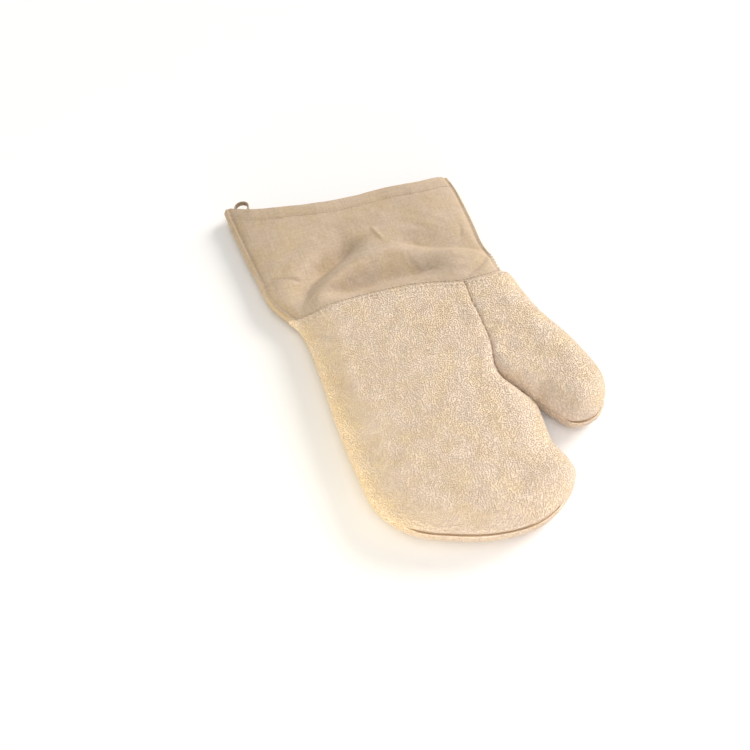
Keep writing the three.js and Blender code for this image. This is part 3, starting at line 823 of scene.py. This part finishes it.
# Shared effects, as node groups that each material places with its own values
def newGroup(name, inputs, outputs):
    tree = bpy.data.node_groups.new(name, "ShaderNodeTree")
    for label, kind, value in inputs:
        socket = tree.interface.new_socket(label, in_out="INPUT", socket_type=kind)
        if value is not None:
            socket.default_value = value
    for label, kind in outputs:
        tree.interface.new_socket(label, in_out="OUTPUT", socket_type=kind)
    return tree, tree.nodes.new("NodeGroupInput"), tree.nodes.new("NodeGroupOutput")


def addNode(tree, kind, settings=None, **inputs):
    node = tree.nodes.new(kind)
    for name, value in (settings or {}).items():
        setattr(node, name, value)
    for name, value in inputs.items():
        socket = node.inputs[int(name[1:])] if name[0] == "_" else node.inputs[name.replace("_", " ")]
        if isinstance(value, bpy.types.NodeSocket):
            tree.links.new(value, socket)
        else:
            socket.default_value = value
    return node


def maths(tree, operation, a, b=0.0):
    return addNode(tree, "ShaderNodeMath", {"operation": operation}, _0=a, _1=b).outputs[0]


def mixColours(tree, factor, a, b):
    node = addNode(tree, "ShaderNodeMix", {"data_type": "RGBA"}, _0=factor, _6=a, _7=b)
    return node.outputs[2]


def spreadNoise(tree, coordinates, scale, detail, limits, roughness=0.5):  # noise from 0 to 1
    noise = addNode(tree, "ShaderNodeTexNoise", Vector=coordinates, Scale=scale, Detail=detail,
                    Roughness=roughness)
    low, high = limits
    spread = addNode(tree, "ShaderNodeMapRange", Value=noise.outputs[0], From_Min=low, From_Max=high)
    return spread.outputs[0]


cottonTones = {
    "patchScale": 42.0,
    "patchLimits": (0.36, 0.64),
    "fleckLimits": (0.32, 0.68),
    "yellow": (1.0, 0.965, 0.80, 1),
    "yellowScale": 55.0,
    "yellowLimits": (0.42, 0.66),
    "yellowShift": (3.1, 1.7, 0.4),  # keeps the yellow places apart from the patches
}


def makeToneGroup():  # uneven colour of undyed cotton: broad patches, flecks and yellower places
    tree, inside, outside = newGroup("cottonTone",
        [("Coordinates", "NodeSocketVector", None), ("Light", "NodeSocketColor", (0.8, 0.7, 0.5, 1)),
         ("Dark", "NodeSocketColor", (0.6, 0.5, 0.3, 1)), ("Fleck Size", "NodeSocketFloat", 0.002),
         ("Patch Share", "NodeSocketFloat", 0.4), ("Yellowing", "NodeSocketFloat", 0.5)],
        [("Color", "NodeSocketColor")])
    coordinates, share = inside.outputs["Coordinates"], inside.outputs["Patch Share"]
    pitch = maths(tree, "DIVIDE", 1.0, inside.outputs["Fleck Size"])
    patch = spreadNoise(tree, coordinates, cottonTones["patchScale"], 3.0, cottonTones["patchLimits"], 0.55)
    fleck = spreadNoise(tree, coordinates, pitch, 2.0, cottonTones["fleckLimits"], 0.6)
    total = maths(tree, "ADD", maths(tree, "MULTIPLY", patch, share),
                  maths(tree, "MULTIPLY", fleck, maths(tree, "SUBTRACT", 1.0, share)))
    colour = mixColours(tree, total, inside.outputs["Dark"], inside.outputs["Light"])
    moved = addNode(tree, "ShaderNodeVectorMath", {"operation": "ADD"},
                    _0=coordinates, _1=cottonTones["yellowShift"]).outputs[0]
    yellow = spreadNoise(tree, moved, cottonTones["yellowScale"], 2.0, cottonTones["yellowLimits"])
    tinted = addNode(tree, "ShaderNodeMix", {"data_type": "RGBA", "blend_type": "MULTIPLY"},
                     _0=maths(tree, "MULTIPLY", yellow, inside.outputs["Yellowing"]),
                     _6=colour, _7=cottonTones["yellow"])
    tree.links.new(tinted.outputs[2], outside.inputs["Color"])
    return tree


weaving = {
    "wanderScale": 90.0,
    "wander": (0.0012, 0.0012, 0.0),  # how far the threads stray
    "slubStretches": ((700.0, 26.0, 1.0), (22.0, 800.0, 1.0)),  # along the cloth and across it
    "slubLimits": (0.35, 0.7),
}


def makeWeaveGroup():  # plain weave: threads crossing over and under, thicker in places
    tree, inside, outside = newGroup("plainWeave",
        [("Coordinates", "NodeSocketVector", None), ("Thread", "NodeSocketFloat", 0.0008),
         ("Slub", "NodeSocketFloat", 0.5)],
        [("Height", "NodeSocketFloat"), ("Slubs", "NodeSocketFloat")])
    coordinates = inside.outputs["Coordinates"]
    wander = addNode(tree, "ShaderNodeTexNoise", Vector=coordinates, Scale=weaving["wanderScale"], Detail=2.0)
    shift = addNode(tree, "ShaderNodeVectorMath", {"operation": "MULTIPLY_ADD"},
                    _0=wander.outputs[1], _1=weaving["wander"], _2=coordinates)
    apart = addNode(tree, "ShaderNodeSeparateXYZ", Vector=shift.outputs[0])
    pitch = maths(tree, "DIVIDE", math.pi, inside.outputs["Thread"])
    across = maths(tree, "SINE", maths(tree, "MULTIPLY", apart.outputs[0], pitch))
    along = maths(tree, "SINE", maths(tree, "MULTIPLY", apart.outputs[1], pitch))
    over = maths(tree, "MULTIPLY", maths(tree, "MULTIPLY", across, along), 0.5)
    warp = maths(tree, "MULTIPLY", maths(tree, "ABSOLUTE", across), maths(tree, "ADD", 0.5, over))
    weft = maths(tree, "MULTIPLY", maths(tree, "ABSOLUTE", along), maths(tree, "SUBTRACT", 0.5, over))
    streaks = []
    for factors in weaving["slubStretches"]:
        mapped = addNode(tree, "ShaderNodeVectorMath", {"operation": "MULTIPLY"}, _0=coordinates, _1=factors)
        streaks.append(spreadNoise(tree, mapped.outputs[0], 1.0, 2.0, weaving["slubLimits"]))
    slubs = maths(tree, "MULTIPLY", maths(tree, "ADD", *streaks), 0.5)
    height = maths(tree, "ADD", maths(tree, "MAXIMUM", warp, weft),
                   maths(tree, "MULTIPLY", slubs, inside.outputs["Slub"]))
    tree.links.new(height, outside.inputs["Height"])
    tree.links.new(slubs, outside.inputs["Slubs"])
    return tree


toneGroup, weaveGroup = makeToneGroup(), makeWeaveGroup()


clothShader = {"Specular IOR Level": 0.15, "Sheen Roughness": 0.6}


def clothMaterial(name, look):
    material = bpy.data.materials.new(name)
    material.use_nodes = True
    tree = material.node_tree
    shader = tree.nodes["Principled BSDF"]
    settings = {**clothShader, "Roughness": look["roughness"], "Sheen Weight": look["sheen"]}
    for label, value in settings.items():
        shader.inputs[label].default_value = value
    coordinates = tree.nodes.new("ShaderNodeTexCoord").outputs["Object"]
    tone = addNode(tree, "ShaderNodeGroup", {"node_tree": toneGroup},
                   Coordinates=coordinates, Light=look["light"], Dark=look["dark"],
                   Fleck_Size=look["fleck"], Patch_Share=look["patches"], Yellowing=look["yellowing"])
    colour = tone.outputs["Color"]
    if look.get("thread"):
        weave = addNode(tree, "ShaderNodeGroup", {"node_tree": weaveGroup},
                        Coordinates=coordinates, Thread=look["thread"], Slub=look["slub"])
        fade = maths(tree, "MULTIPLY", weave.outputs["Slubs"], look["slub"])
        colour = mixColours(tree, fade, colour, look["slubColour"])
        relief = weave.outputs["Height"]
    else:
        relief = addNode(tree, "ShaderNodeTexNoise", Vector=coordinates, Scale=look["fuzz"],
                         Detail=3.0, Roughness=0.7).outputs[0]
    bump = addNode(tree, "ShaderNodeBump", Strength=look["bump"], Distance=look["bumpDepth"], Height=relief)
    tree.links.new(colour, shader.inputs["Base Color"])
    tree.links.new(bump.outputs[0], shader.inputs["Normal"])
    return material


looks = {
    # the terry's base cloth is the same cotton as its loops, painted lighter than the loops as painted light
    # that evens out the shade in the gaps between them
    "terry": {
        "light": (0.90, 0.76, 0.61, 1), "dark": (0.80, 0.645, 0.49, 1), "fleck": 0.0022, "patches": 0.35,
        "yellowing": 0.6, "roughness": 0.95, "sheen": 0.25, "bump": 0.5, "bumpDepth": 0.0005, "fuzz": 1100.0},
    "pile": {
        "light": (0.795, 0.66, 0.53, 1), "dark": (0.705, 0.565, 0.43, 1), "fleck": 0.0018, "patches": 0.35,
        "yellowing": 0.55, "roughness": 0.95, "sheen": 0.3, "bump": 0.4, "bumpDepth": 0.0003, "fuzz": 2600.0},
    "canvas": {
        "light": (0.71, 0.565, 0.432, 1), "dark": (0.545, 0.42, 0.298, 1), "fleck": 0.0022, "patches": 0.35,
        "yellowing": 0.6, "roughness": 0.9, "sheen": 0.1, "bump": 0.6, "bumpDepth": 0.0005,
        "thread": 0.0009, "slub": 0.5, "slubColour": (0.48, 0.36, 0.245, 1)},
    "tape": {
        "light": (0.54, 0.43, 0.32, 1), "dark": (0.43, 0.34, 0.24, 1), "fleck": 0.002, "patches": 0.5,
        "yellowing": 0.5, "roughness": 0.9, "sheen": 0.1, "bump": 0.6, "bumpDepth": 0.0003,
        "thread": 0.0005, "slub": 0.4, "slubColour": (0.42, 0.33, 0.22, 1)},
    "thread": {
        "light": (0.66, 0.54, 0.40, 1), "dark": (0.55, 0.44, 0.31, 1), "fleck": 0.0015, "patches": 0.3,
        "yellowing": 0.4, "roughness": 0.8, "sheen": 0.2, "bump": 0.5, "bumpDepth": 0.0002, "fuzz": 3000.0},
}
materials = {name: clothMaterial(name + "Cloth", look) for name, look in looks.items()}
print("materials made")


pile = {
    "spacing": 1.36,  # millimetres between loops
    "tries": 5,  # spots tried for each loop
    "sink": 0.3,  # how deep the cloth lies below the loops
    "sinkAtSeam": (0.3, 3.5),  # share of it left beside a seam, and how far from the seam it is whole
    "height": 0.4,
    "heightRange": (0.75, 1.25),  # how loops differ, as shares of the value before
    "heightAtSeam": (0.45, 0.55, 3),  # share left beside a seam, share added away from it, how far
    "halfWidth": 0.56,
    "widthRange": (0.8, 1.25),
    "yarn": 0.6,
    "yarnRange": (0.85, 1.15),
    "lean": 0.3,
    "rings": 3,
    "sides": 4,
    "warp": (0.1, 1.0, 0.0),  # the loops stand in rows along the hand
    "stray": 0.8,  # how far they turn from it
    "seamGap": (0.1, 0.6),  # least and most width that stays bare beside the thumb's seam
    "floorClear": 0.1,
    "twist": 0.5,  # of the yarn's four sides, in radians
    "shapeSeed": 100,
    "bakeMargin": 0.1,  # of each loop's cell in the map for baking
}


def scatter(panel, spacing, seed):  # spots on the cloth, no two nearer than the spacing
    draw = np.random.default_rng(seed)
    a, b, c = [panel["pilePoints"][panel["pileTriangles"][:, k]] for k in range(3)]
    cross = np.cross(b - a, c - a)
    area = np.linalg.norm(cross, axis=1) / 2
    normals = cross / np.maximum(2 * area[:, None], 1e-9)
    count = int(area.sum() / spacing**2 * pile["tries"])
    pick = draw.choice(len(area), count, p=area / area.sum())
    u, v = draw.random((2, count, 1))
    u, v = np.where(u + v > 1, 1 - u, u), np.where(u + v > 1, 1 - v, v)
    spots = a[pick] + u * (b - a)[pick] + v * (c - a)[pick]
    cells, kept = {}, []
    square = spacing**2
    keys = np.floor(spots / spacing).astype(int).tolist()
    around = [(x, y, z) for x in (-1, 0, 1) for y in (-1, 0, 1) for z in (-1, 0, 1)]
    for k, (spot, (x, y, z)) in enumerate(zip(spots.tolist(), keys)):
        near = [other for dx, dy, dz in around for other in cells.get((x + dx, y + dy, z + dz), ())]
        if all(sum((p - q) ** 2 for p, q in zip(spot, other)) >= square for other in near):
            cells.setdefault((x, y, z), []).append(spot)
            kept.append(k)
    return spots[kept], normals[pick[kept]]


def loopedPile(name, panel, seed):
    spots, normals = scatter(panel, pile["spacing"], seed)
    gap, along = seamLine.nearest(spots[:, :2])
    least, most = pile["seamGap"]
    clear = gap > least + (most - least) * dimples(along, terryShape["thumbSeam"][2], "thumbFront")
    clear &= np.abs(spots[:, 2] - bodyAt(spots, "seam")) > sideSeam["bare"]
    spots, normals = spots[clear], normals[clear]
    draw = np.random.default_rng(seed + pile["shapeSeed"])
    count = len(spots)
    side = np.array(pile["warp"]) + pile["stray"] * draw.normal(size=(count, 3))
    side = unit(side - normals * (side * normals).sum(1, keepdims=True))
    cross = np.cross(normals, side)
    sewn = np.minimum(wristLine.nearest(spots[:, :2])[0], seamLine.nearest(spots[:, :2])[0])
    beside, added, reach = pile["heightAtSeam"]
    height = pile["height"] * draw.uniform(*pile["heightRange"], count)
    height = height * (beside + added * quarterRound(sewn / reach))
    width = pile["halfWidth"] * draw.uniform(*pile["widthRange"], count)
    lean = pile["lean"] * draw.normal(size=count)
    yarn = pile["yarn"] * draw.uniform(*pile["yarnRange"], count)
    rings, ringCount, sides = [], pile["rings"], pile["sides"]
    for turn in np.linspace(0, math.pi, ringCount):
        out = side * math.cos(turn) + normals * math.sin(turn)
        centre = spots + side * (width * math.cos(turn))[:, None]
        centre = centre + normals * (height * math.sin(turn))[:, None]
        centre = centre + cross * (lean * math.sin(turn))[:, None]
        for angle in 2 * math.pi * np.arange(sides) / sides + pile["twist"]:
            rings.append(centre + (cross * math.cos(angle) + out * math.sin(angle)) * yarn[:, None])
    firsts = np.arange(count)[:, None, None] * ringCount * sides
    faces = (firsts + np.array(tubeFaces(ringCount, sides, closed=False))).reshape(-1, 4)
    points = np.stack(rings, 1).reshape(-1, 3)
    points[:, 2] = np.maximum(points[:, 2], pile["floorClear"])
    piece = newPiece(name, points, faces, materials["pile"])
    cells = math.ceil(math.sqrt(count))
    home = np.stack([np.arange(count) % cells, np.arange(count) // cells], 1)
    local = [(k // sides / (ringCount - 1), k % sides / (sides - 1)) for k in range(sides * ringCount)]
    local = np.array(local) * (1 - 2 * pile["bakeMargin"]) + pile["bakeMargin"]
    bakeMap = piece.data.uv_layers.new(name="OFBake")
    bakeMap.data.foreach_set("uv", ((home[:, None] + local).reshape(-1, 2) / cells)[faces.ravel()].ravel())
    print(name, count, "loops,", 2 * len(faces), "triangles")
    return piece


# Threads, as short tubes that come out of the cloth and go back in
stitching = {
    "radius": 0.34,
    "sides": 6,
    "rings": 7,
    "rise": 0.45,
    "arch": (2.1, 0.6, 1.2),  # its height and roundness, and how deep its ends lie, in radii
    "thickness": (0.55, 0.45, 0.5),  # at the ends, added at the middle, roundness
    "wander": 0.06,  # share of the pitch
    "slant": 0.12,
    "sunkInTerry": 0.7,
    "seed": 200,
}


# points and normals of a line on the panel's outer face, at a distance from one of its borders
def lineOnGrid(panel, border, distance):
    grid, normals = panel["outer"], panel["normals"]
    if border in ("left", "right"):
        grid, normals = grid.transpose(1, 0, 2), normals.transpose(1, 0, 2)
    if border in ("far", "right"):
        grid, normals = grid[::-1], normals[::-1]
    steps = np.linalg.norm(np.diff(grid, axis=0), axis=2)
    lengths = np.vstack([np.zeros(grid.shape[1]), np.cumsum(steps, axis=0)])
    columns = np.arange(grid.shape[1])
    row = np.clip((lengths < distance).sum(0), 1, len(grid) - 1)
    share = ((distance - lengths[row - 1, columns]) / steps[row - 1, columns])[:, None]
    line = grid[row - 1, columns] * (1 - share) + grid[row, columns] * share
    lineNormals = normals[row - 1, columns] * (1 - share) + normals[row, columns] * share
    return line, unit(lineNormals)


def tubes(paths, ups, radius, sides):  # closed tubes along many paths of equally many points
    along = unit(np.gradient(paths, axis=1))
    across = unit(np.cross(along, ups))
    over = np.cross(across, along)
    turns = 2 * math.pi * np.arange(sides) / sides
    circle = across[:, :, None] * np.cos(turns)[:, None] + over[:, :, None] * np.sin(turns)[:, None]
    points = paths[:, :, None] + circle * np.asarray(radius)[..., None, None]
    count, rings = paths.shape[:2]
    oneTube = tubeFaces(rings, sides)
    faces = [tuple(first + k for k in face)
             for first in range(0, count * rings * sides, rings * sides) for face in oneTube]
    return points.reshape(-1, 3), faces


def stitchRow(line, normals, length, pitch, margin, seed):
    draw = np.random.default_rng(seed)
    steps = np.linalg.norm(np.diff(line, axis=0), axis=1)
    lengths = np.concatenate([[0.0], np.cumsum(steps)])
    starts = np.arange(margin, lengths[-1] - margin - length, pitch)
    starts = starts + draw.uniform(-stitching["wander"], stitching["wander"], len(starts)) * pitch
    t = np.linspace(0, 1, stitching["rings"])
    places = starts[:, None] + t * length
    at = lambda values: np.stack([np.interp(places, lengths, values[:, k]) for k in range(3)], -1)
    paths, ups = at(line), at(normals)
    height, roundness, depth = stitching["arch"]
    rise = stitching["radius"] * (height * np.sin(math.pi * t) ** roundness - depth + stitching["rise"])
    sideways = unit(np.cross(ups, np.gradient(paths, axis=1)))
    slant = draw.normal(size=(len(starts), 1, 1)) * stitching["slant"] * (t - 0.5)[None, :, None]
    paths = paths + ups * rise[None, :, None] + sideways * slant
    ends, middle, roundness = stitching["thickness"]
    radius = stitching["radius"] * (ends + middle * np.sin(math.pi * t) ** roundness)
    return tubes(paths, ups, np.broadcast_to(radius, paths.shape[:2]), stitching["sides"])


def joined(parts):
    points, faces, first = [], [], 0
    for partPoints, partFaces in parts:
        points.append(partPoints)
        faces += [tuple(first + k for k in face) for face in partFaces]
        first += len(partPoints)
    return np.vstack(points), faces


# the grid of each cloth's panels, in steps from their borders, and how the wall is made
meshes = {
    "terry": {
        "edge": [0.12, 0.5, 1.1, 1.9, 2.9, 4.0, 5.2, 6.5, 7.9, 9.3],
        "seamEdge": [0.4, 0.9, 1.5, 2.2, 3.2],
        "lip": [0.4, 0.9, 1.5, 2.2, 3.2],
        "hemEdge": [],
        "step": 1.5,
        "rowStep": 1.5,
        "skip": 4,  # the inner face has one point in so many
        "rimSteps": 9,
        "wall": mitt["terryWall"],
        "edgeLip": mitt["terryLip"],
        "floorClear": pile["floorClear"],
        "piled": True,
        "settled": False,
    },
    "canvas": {
        "edge": [0.12, 0.5, 1.1, 1.9, 2.8, 3.7, 4.5, 5.3, 6.2, 7.2],
        "seamEdge": [0.5, 1.2],
        "hemEdge": [0.25, 0.8],
        "step": 1.2,
        "rowStep": 1.2,
        "skip": 2,
        "rimSteps": 5,
        "wall": mitt["canvasWall"],
        "edgeLip": canvasShape["lip"],
        "floorClear": canvasShape["floorClear"],
        "piled": False,
        "settled": True,
    },
}

# flat sizes are the cut pieces', width and length in metres, with the area inside the cut's outline
panels = {
    "handFront": {
        "kind": "terry", "node": "hand_front", "plan": handPlan, "pull": "frontPull", "heights": terryTop,
        "side": 1, "seed": 1, "flat": (0.20, 0.29), "area": 0.0480, "held": "draped", "on": ["hand_back"]},
    "handBack": {
        "kind": "terry", "node": "hand_back", "plan": handPlan, "pull": "backPull", "heights": terryFloor,
        "side": -1, "seed": 2, "flat": (0.18, 0.27), "area": 0.0420, "held": "laid", "on": ["studioFloor"]},
    "thumbFront": {
        "kind": "terry", "node": "thumb_front", "plan": thumbPlan, "pull": "frontPull", "heights": terryTop,
        "side": 1, "seed": 3, "flat": (0.10, 0.19), "area": 0.0130, "held": "draped", "on": ["thumb_back"]},
    "thumbBack": {
        "kind": "terry", "node": "thumb_back", "plan": thumbPlan, "pull": "backPull", "heights": terryFloor,
        "side": -1, "seed": 4, "flat": (0.09, 0.18), "area": 0.0110, "held": "laid", "on": ["studioFloor"]},
    "cuffFront": {
        "kind": "canvas", "node": "cuff_front", "plan": cuffPlan, "pull": None, "heights": canvasTop,
        "side": 1, "flat": (0.23, 0.15), "area": 0.0270, "held": "draped", "on": ["cuff_back"]},
    "cuffBack": {
        "kind": "canvas", "node": "cuff_back", "plan": cuffPlan, "pull": None, "heights": canvasFloor,
        "side": -1, "flat": (0.23, 0.15), "area": 0.0260, "held": "laid", "on": ["studioFloor"]},
}


def surfaceArea(grid):
    a, b = grid[1:, :-1] - grid[:-1, :-1], grid[:-1, 1:] - grid[:-1, :-1]
    return np.linalg.norm(np.cross(a, b), axis=2).sum()


for name, cut in panels.items():
    mesh = meshes[cut["kind"]]
    panel = buildPanel(cut, mesh)
    panel["points"][:, 2] = np.maximum(panel["points"][:, 2], mesh["floorClear"])
    cloth = newPiece(name, panel["points"], panel["faces"], materials[cut["kind"]])
    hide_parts(cut["node"])
    if mesh["piled"]:
        cut["loops"] = loopedPile(name + "Pile", panel, cut["seed"])
    cut["cloth"], cut["panel"] = cloth, panel
    print(name, len(panel["faces"]), "faces, outer face", round(surfaceArea(panel["outer"])), "mm2")


# border, distance from it, stitch length, pitch, margin
cuffStitches = [("far", 12.2, 2.5, 3.3, 6.0), ("left", 5.4, 2.5, 3.3, 3.0), ("right", 5.4, 2.5, 3.3, 3.0),
                ("near", 2.6, 2.5, 3.3, 6.0)]
seamStitches = {
    "cuffFront": cuffStitches,
    "cuffBack": cuffStitches,
    "handFront": [("near", 3.8, 2.6, 4.4, 9.0)],
    "thumbFront": [("near", 3.8, 2.6, 4.4, 5.0)],
}
for k, (name, rows) in enumerate(seamStitches.items()):
    cut = panels[name]
    parts = []
    for m, (border, distance, length, pitch, margin) in enumerate(rows):
        line, normals = lineOnGrid(cut["panel"], border, distance)
        if cut["kind"] == "terry":
            line = line - normals * stitching["sunkInTerry"]
        seed = stitching["seed"] + 10 * k + m
        parts.append(stitchRow(line, normals, length, pitch, margin, seed))
    points, faces = joined(parts)
    points[:, 2] = np.maximum(points[:, 2], canvasShape["floorClear"])
    newPiece(name + "Stitches", points, faces, materials["thread"])
    print(name + "Stitches", len(faces), "faces")


hangingLoop = {
    "middle": (-107.6, 186.2),
    "lean": (0.33, 0.94),
    "width": 5.4,
    "thickness": 1.2,
    "sewnIn": 1.0,
    "gap": 0.1,  # to the hem that it is sewn to
    "edge": (0.12, 0.8, 0.12),  # how much thicker the woven edges are, their place and width
    "rounding": (0.86, 0.14),  # where the rounding of the edges begins, and its width
    "widthSteps": 13,
    "stepsPerRow": 10,
    "path": table("out side drop turn",
        (-13, -4.4, 0.3, 0),
        (-8, -4.6, 0.3, 0),
        (-3, -5.4, 2.0, 20),
        (1.2, -6.3, 3.3, 65),
        (5.4, -6.3, 3.6, 90),
        (9.2, -4.6, 3.4, 90),
        (10.8, 0, 3.3, 90)),
}


def tapeSection():  # across the tape, in halves of its width and thickness
    begin, width = hangingLoop["rounding"]
    thicker, place, reach = hangingLoop["edge"]
    section = []
    for w in np.linspace(-1, 1, hangingLoop["widthSteps"]):
        roundOff = math.sqrt(max(0, 1 - max(0, abs(w) - begin) ** 2 / width**2))
        section.append((w, roundOff * (1 + thicker * hump(abs(w) - place, reach))))
    return [(w, -t) for w, t in section] + [(w, t) for w, t in section[-2:0:-1]]


def makeHangingLoop():
    middle = np.array(hangingLoop["middle"], float)
    outward = unit(np.array(hangingLoop["lean"], float))
    sideways = np.array([outward[1], -outward[0]])
    thick = hangingLoop["thickness"]

    def hemFace(spots):
        return canvasTop(spots, mitt["canvasWall"], np.ones(len(spots), bool))

    def onHem(out, side):
        inward = np.minimum(out, -hangingLoop["sewnIn"])
        return middle + np.outer(inward, outward) + np.outer(side, sideways)

    rows = hangingLoop["path"]
    rows = rows + [{**row, "side": -row["side"]} for row in rows[-2::-1]]
    out, side, drop, turn = (np.array([row[key] for row in rows], float)
                             for key in ("out", "side", "drop", "turn"))
    flat = middle + np.outer(out, outward) + np.outer(side, sideways)
    z = hemFace(onHem(out, side)) - hangingLoop["gap"] - thick / 2 - drop
    path = smoothPath(np.column_stack([flat, z]), hangingLoop["stepsPerRow"])
    turns = np.interp(np.linspace(0, len(rows) - 1, len(path)), np.arange(len(rows)), turn)
    along = unit(np.gradient(path, axis=0))
    level = unit(np.cross(along, (0, 0, 1)))
    offset = path[:, :2] - middle
    anchor = onHem(offset @ outward, offset @ sideways)
    slope = hemFace(anchor + level[:, :2]) - hemFace(anchor)
    flatWay = unit(level + np.column_stack([0 * slope, 0 * slope, slope]))
    angle = np.radians(turns)[:, None]
    across = unit(flatWay * np.cos(angle) + np.array([0, 0, 1.0]) * np.sin(angle))
    through = np.cross(across, along)
    w, t = np.array(tapeSection()).T
    points = (path[:, None] + across[:, None] * (w * hangingLoop["width"] / 2)[:, None]
              + through[:, None] * (t * thick / 2)[:, None])
    return points.reshape(-1, 3), tubeFaces(len(path), len(w))


loopPoints, loopFaces = makeHangingLoop()
tapeLoop = newPiece("hangingLoop", loopPoints, loopFaces, materials["tape"])
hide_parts("hang_loop")
print("hangingLoop", len(loopFaces), "faces")


camera = {
    "azimuth": -21.0,
    "elevation": 60.0,
    "distance": 1.06,
    "lens": 60.0,
    "sensor": 36.0,
    "aim": (-0.0553, -0.0189, 0.013),
}


def addCamera():
    data = bpy.data.cameras.new("photoCamera")
    data.lens, data.sensor_width = camera["lens"], camera["sensor"]
    eye = addObject("photoCamera", data)
    a, e = math.radians(camera["azimuth"]), math.radians(camera["elevation"])
    back = Vector((math.sin(a) * math.cos(e), -math.cos(a) * math.cos(e), math.sin(e)))
    eye.location = Vector(camera["aim"]) + back * camera["distance"]
    eye.rotation_mode = "QUATERNION"
    eye.rotation_quaternion = (-back).to_track_quat("-Z", "Y")
    bpy.context.scene.camera = eye


# wide soft lamps, seen from the mitt: degrees from +X toward +Y, degrees above the floor
lighting = {
    "lamps": table("name azimuth elevation spread strength colour",
        ("key", 19, 26, 34, 3.0, (1.0, 0.97, 0.915)),
        ("front", -110, 80, 50, 0.76, (1.0, 0.98, 0.98))),
    "cards": table("name at facing size watts colour",
        ("warmCard", (-0.35, -0.15, 0.055), (-0.05, -0.07, 0.02), (0.32, 0.08), 0.58, (1.0, 0.88, 0.50)),
        ("sideCard", (0.48, 0.06, 0.22), (0.06, 0.06, 0.02), (0.30, 0.20), 0.05, (0.95, 0.85, 1.0)),
        ("frontCard", (0.04, -0.62, 0.16), (0.0, -0.10, 0.02), (0.44, 0.16), 1.1, (1.0, 0.95, 0.98))),
    "sky": 0.42,
    "backdrop": 1.0,
    "floor": (0.95, 0.945, 0.94, 1.0),
    "floorRoughness": 0.9,
    "floorHalf": 60.0,
}


def addLamp(name, data, location, facing):
    lamp = addObject(name, data)
    lamp.location = location
    lamp.rotation_mode = "QUATERNION"
    lamp.rotation_quaternion = (Vector(facing) - Vector(location)).to_track_quat("-Z", "Y")
    return lamp


def addLights():
    for spec in lighting["lamps"]:
        data = bpy.data.lights.new(spec["name"], "SUN")
        data.angle, data.energy = math.radians(spec["spread"]), spec["strength"]
        data.color = spec["colour"]
        a, e = math.radians(spec["azimuth"]), math.radians(spec["elevation"])
        place = (math.cos(a) * math.cos(e), math.sin(a) * math.cos(e), math.sin(e))
        addLamp(spec["name"], data, place, (0, 0, 0))
    for card in lighting["cards"]:
        data = bpy.data.lights.new(card["name"], "AREA")
        data.shape, data.energy, data.color = "RECTANGLE", card["watts"], card["colour"]
        data.size, data.size_y = card["size"]
        addLamp(card["name"], data, card["at"], card["facing"]).visible_camera = False
    world = bpy.data.worlds.new("studio")
    world.use_nodes = True
    tree = world.node_tree
    seen = tree.nodes.new("ShaderNodeLightPath").outputs["Is Camera Ray"]
    lit = maths(tree, "MULTIPLY", seen, lighting["backdrop"] - lighting["sky"])
    strength = maths(tree, "ADD", lit, lighting["sky"])  # the backdrop looks white and lights less
    tree.nodes["Background"].inputs["Color"].default_value = (1, 1, 1, 1)
    tree.links.new(strength, tree.nodes["Background"].inputs["Strength"])
    bpy.context.scene.world = world
    bpy.context.scene.view_settings.view_transform = "Standard"


def addFloor():
    half = lighting["floorHalf"]
    mesh = bpy.data.meshes.new("studioFloor")
    corners = [(-half, -half, 0), (half, -half, 0), (half, half, 0), (-half, half, 0)]
    mesh.from_pydata(corners, [], [(0, 1, 2, 3)])
    material = bpy.data.materials.new("paleFloor")
    material.use_nodes = True
    shader = material.node_tree.nodes["Principled BSDF"]
    shader.inputs["Base Color"].default_value = lighting["floor"]
    shader.inputs["Roughness"].default_value = lighting["floorRoughness"]
    mesh.materials.append(material)
    floor = addObject("studioFloor", mesh)


addCamera()
addLights()
addFloor()
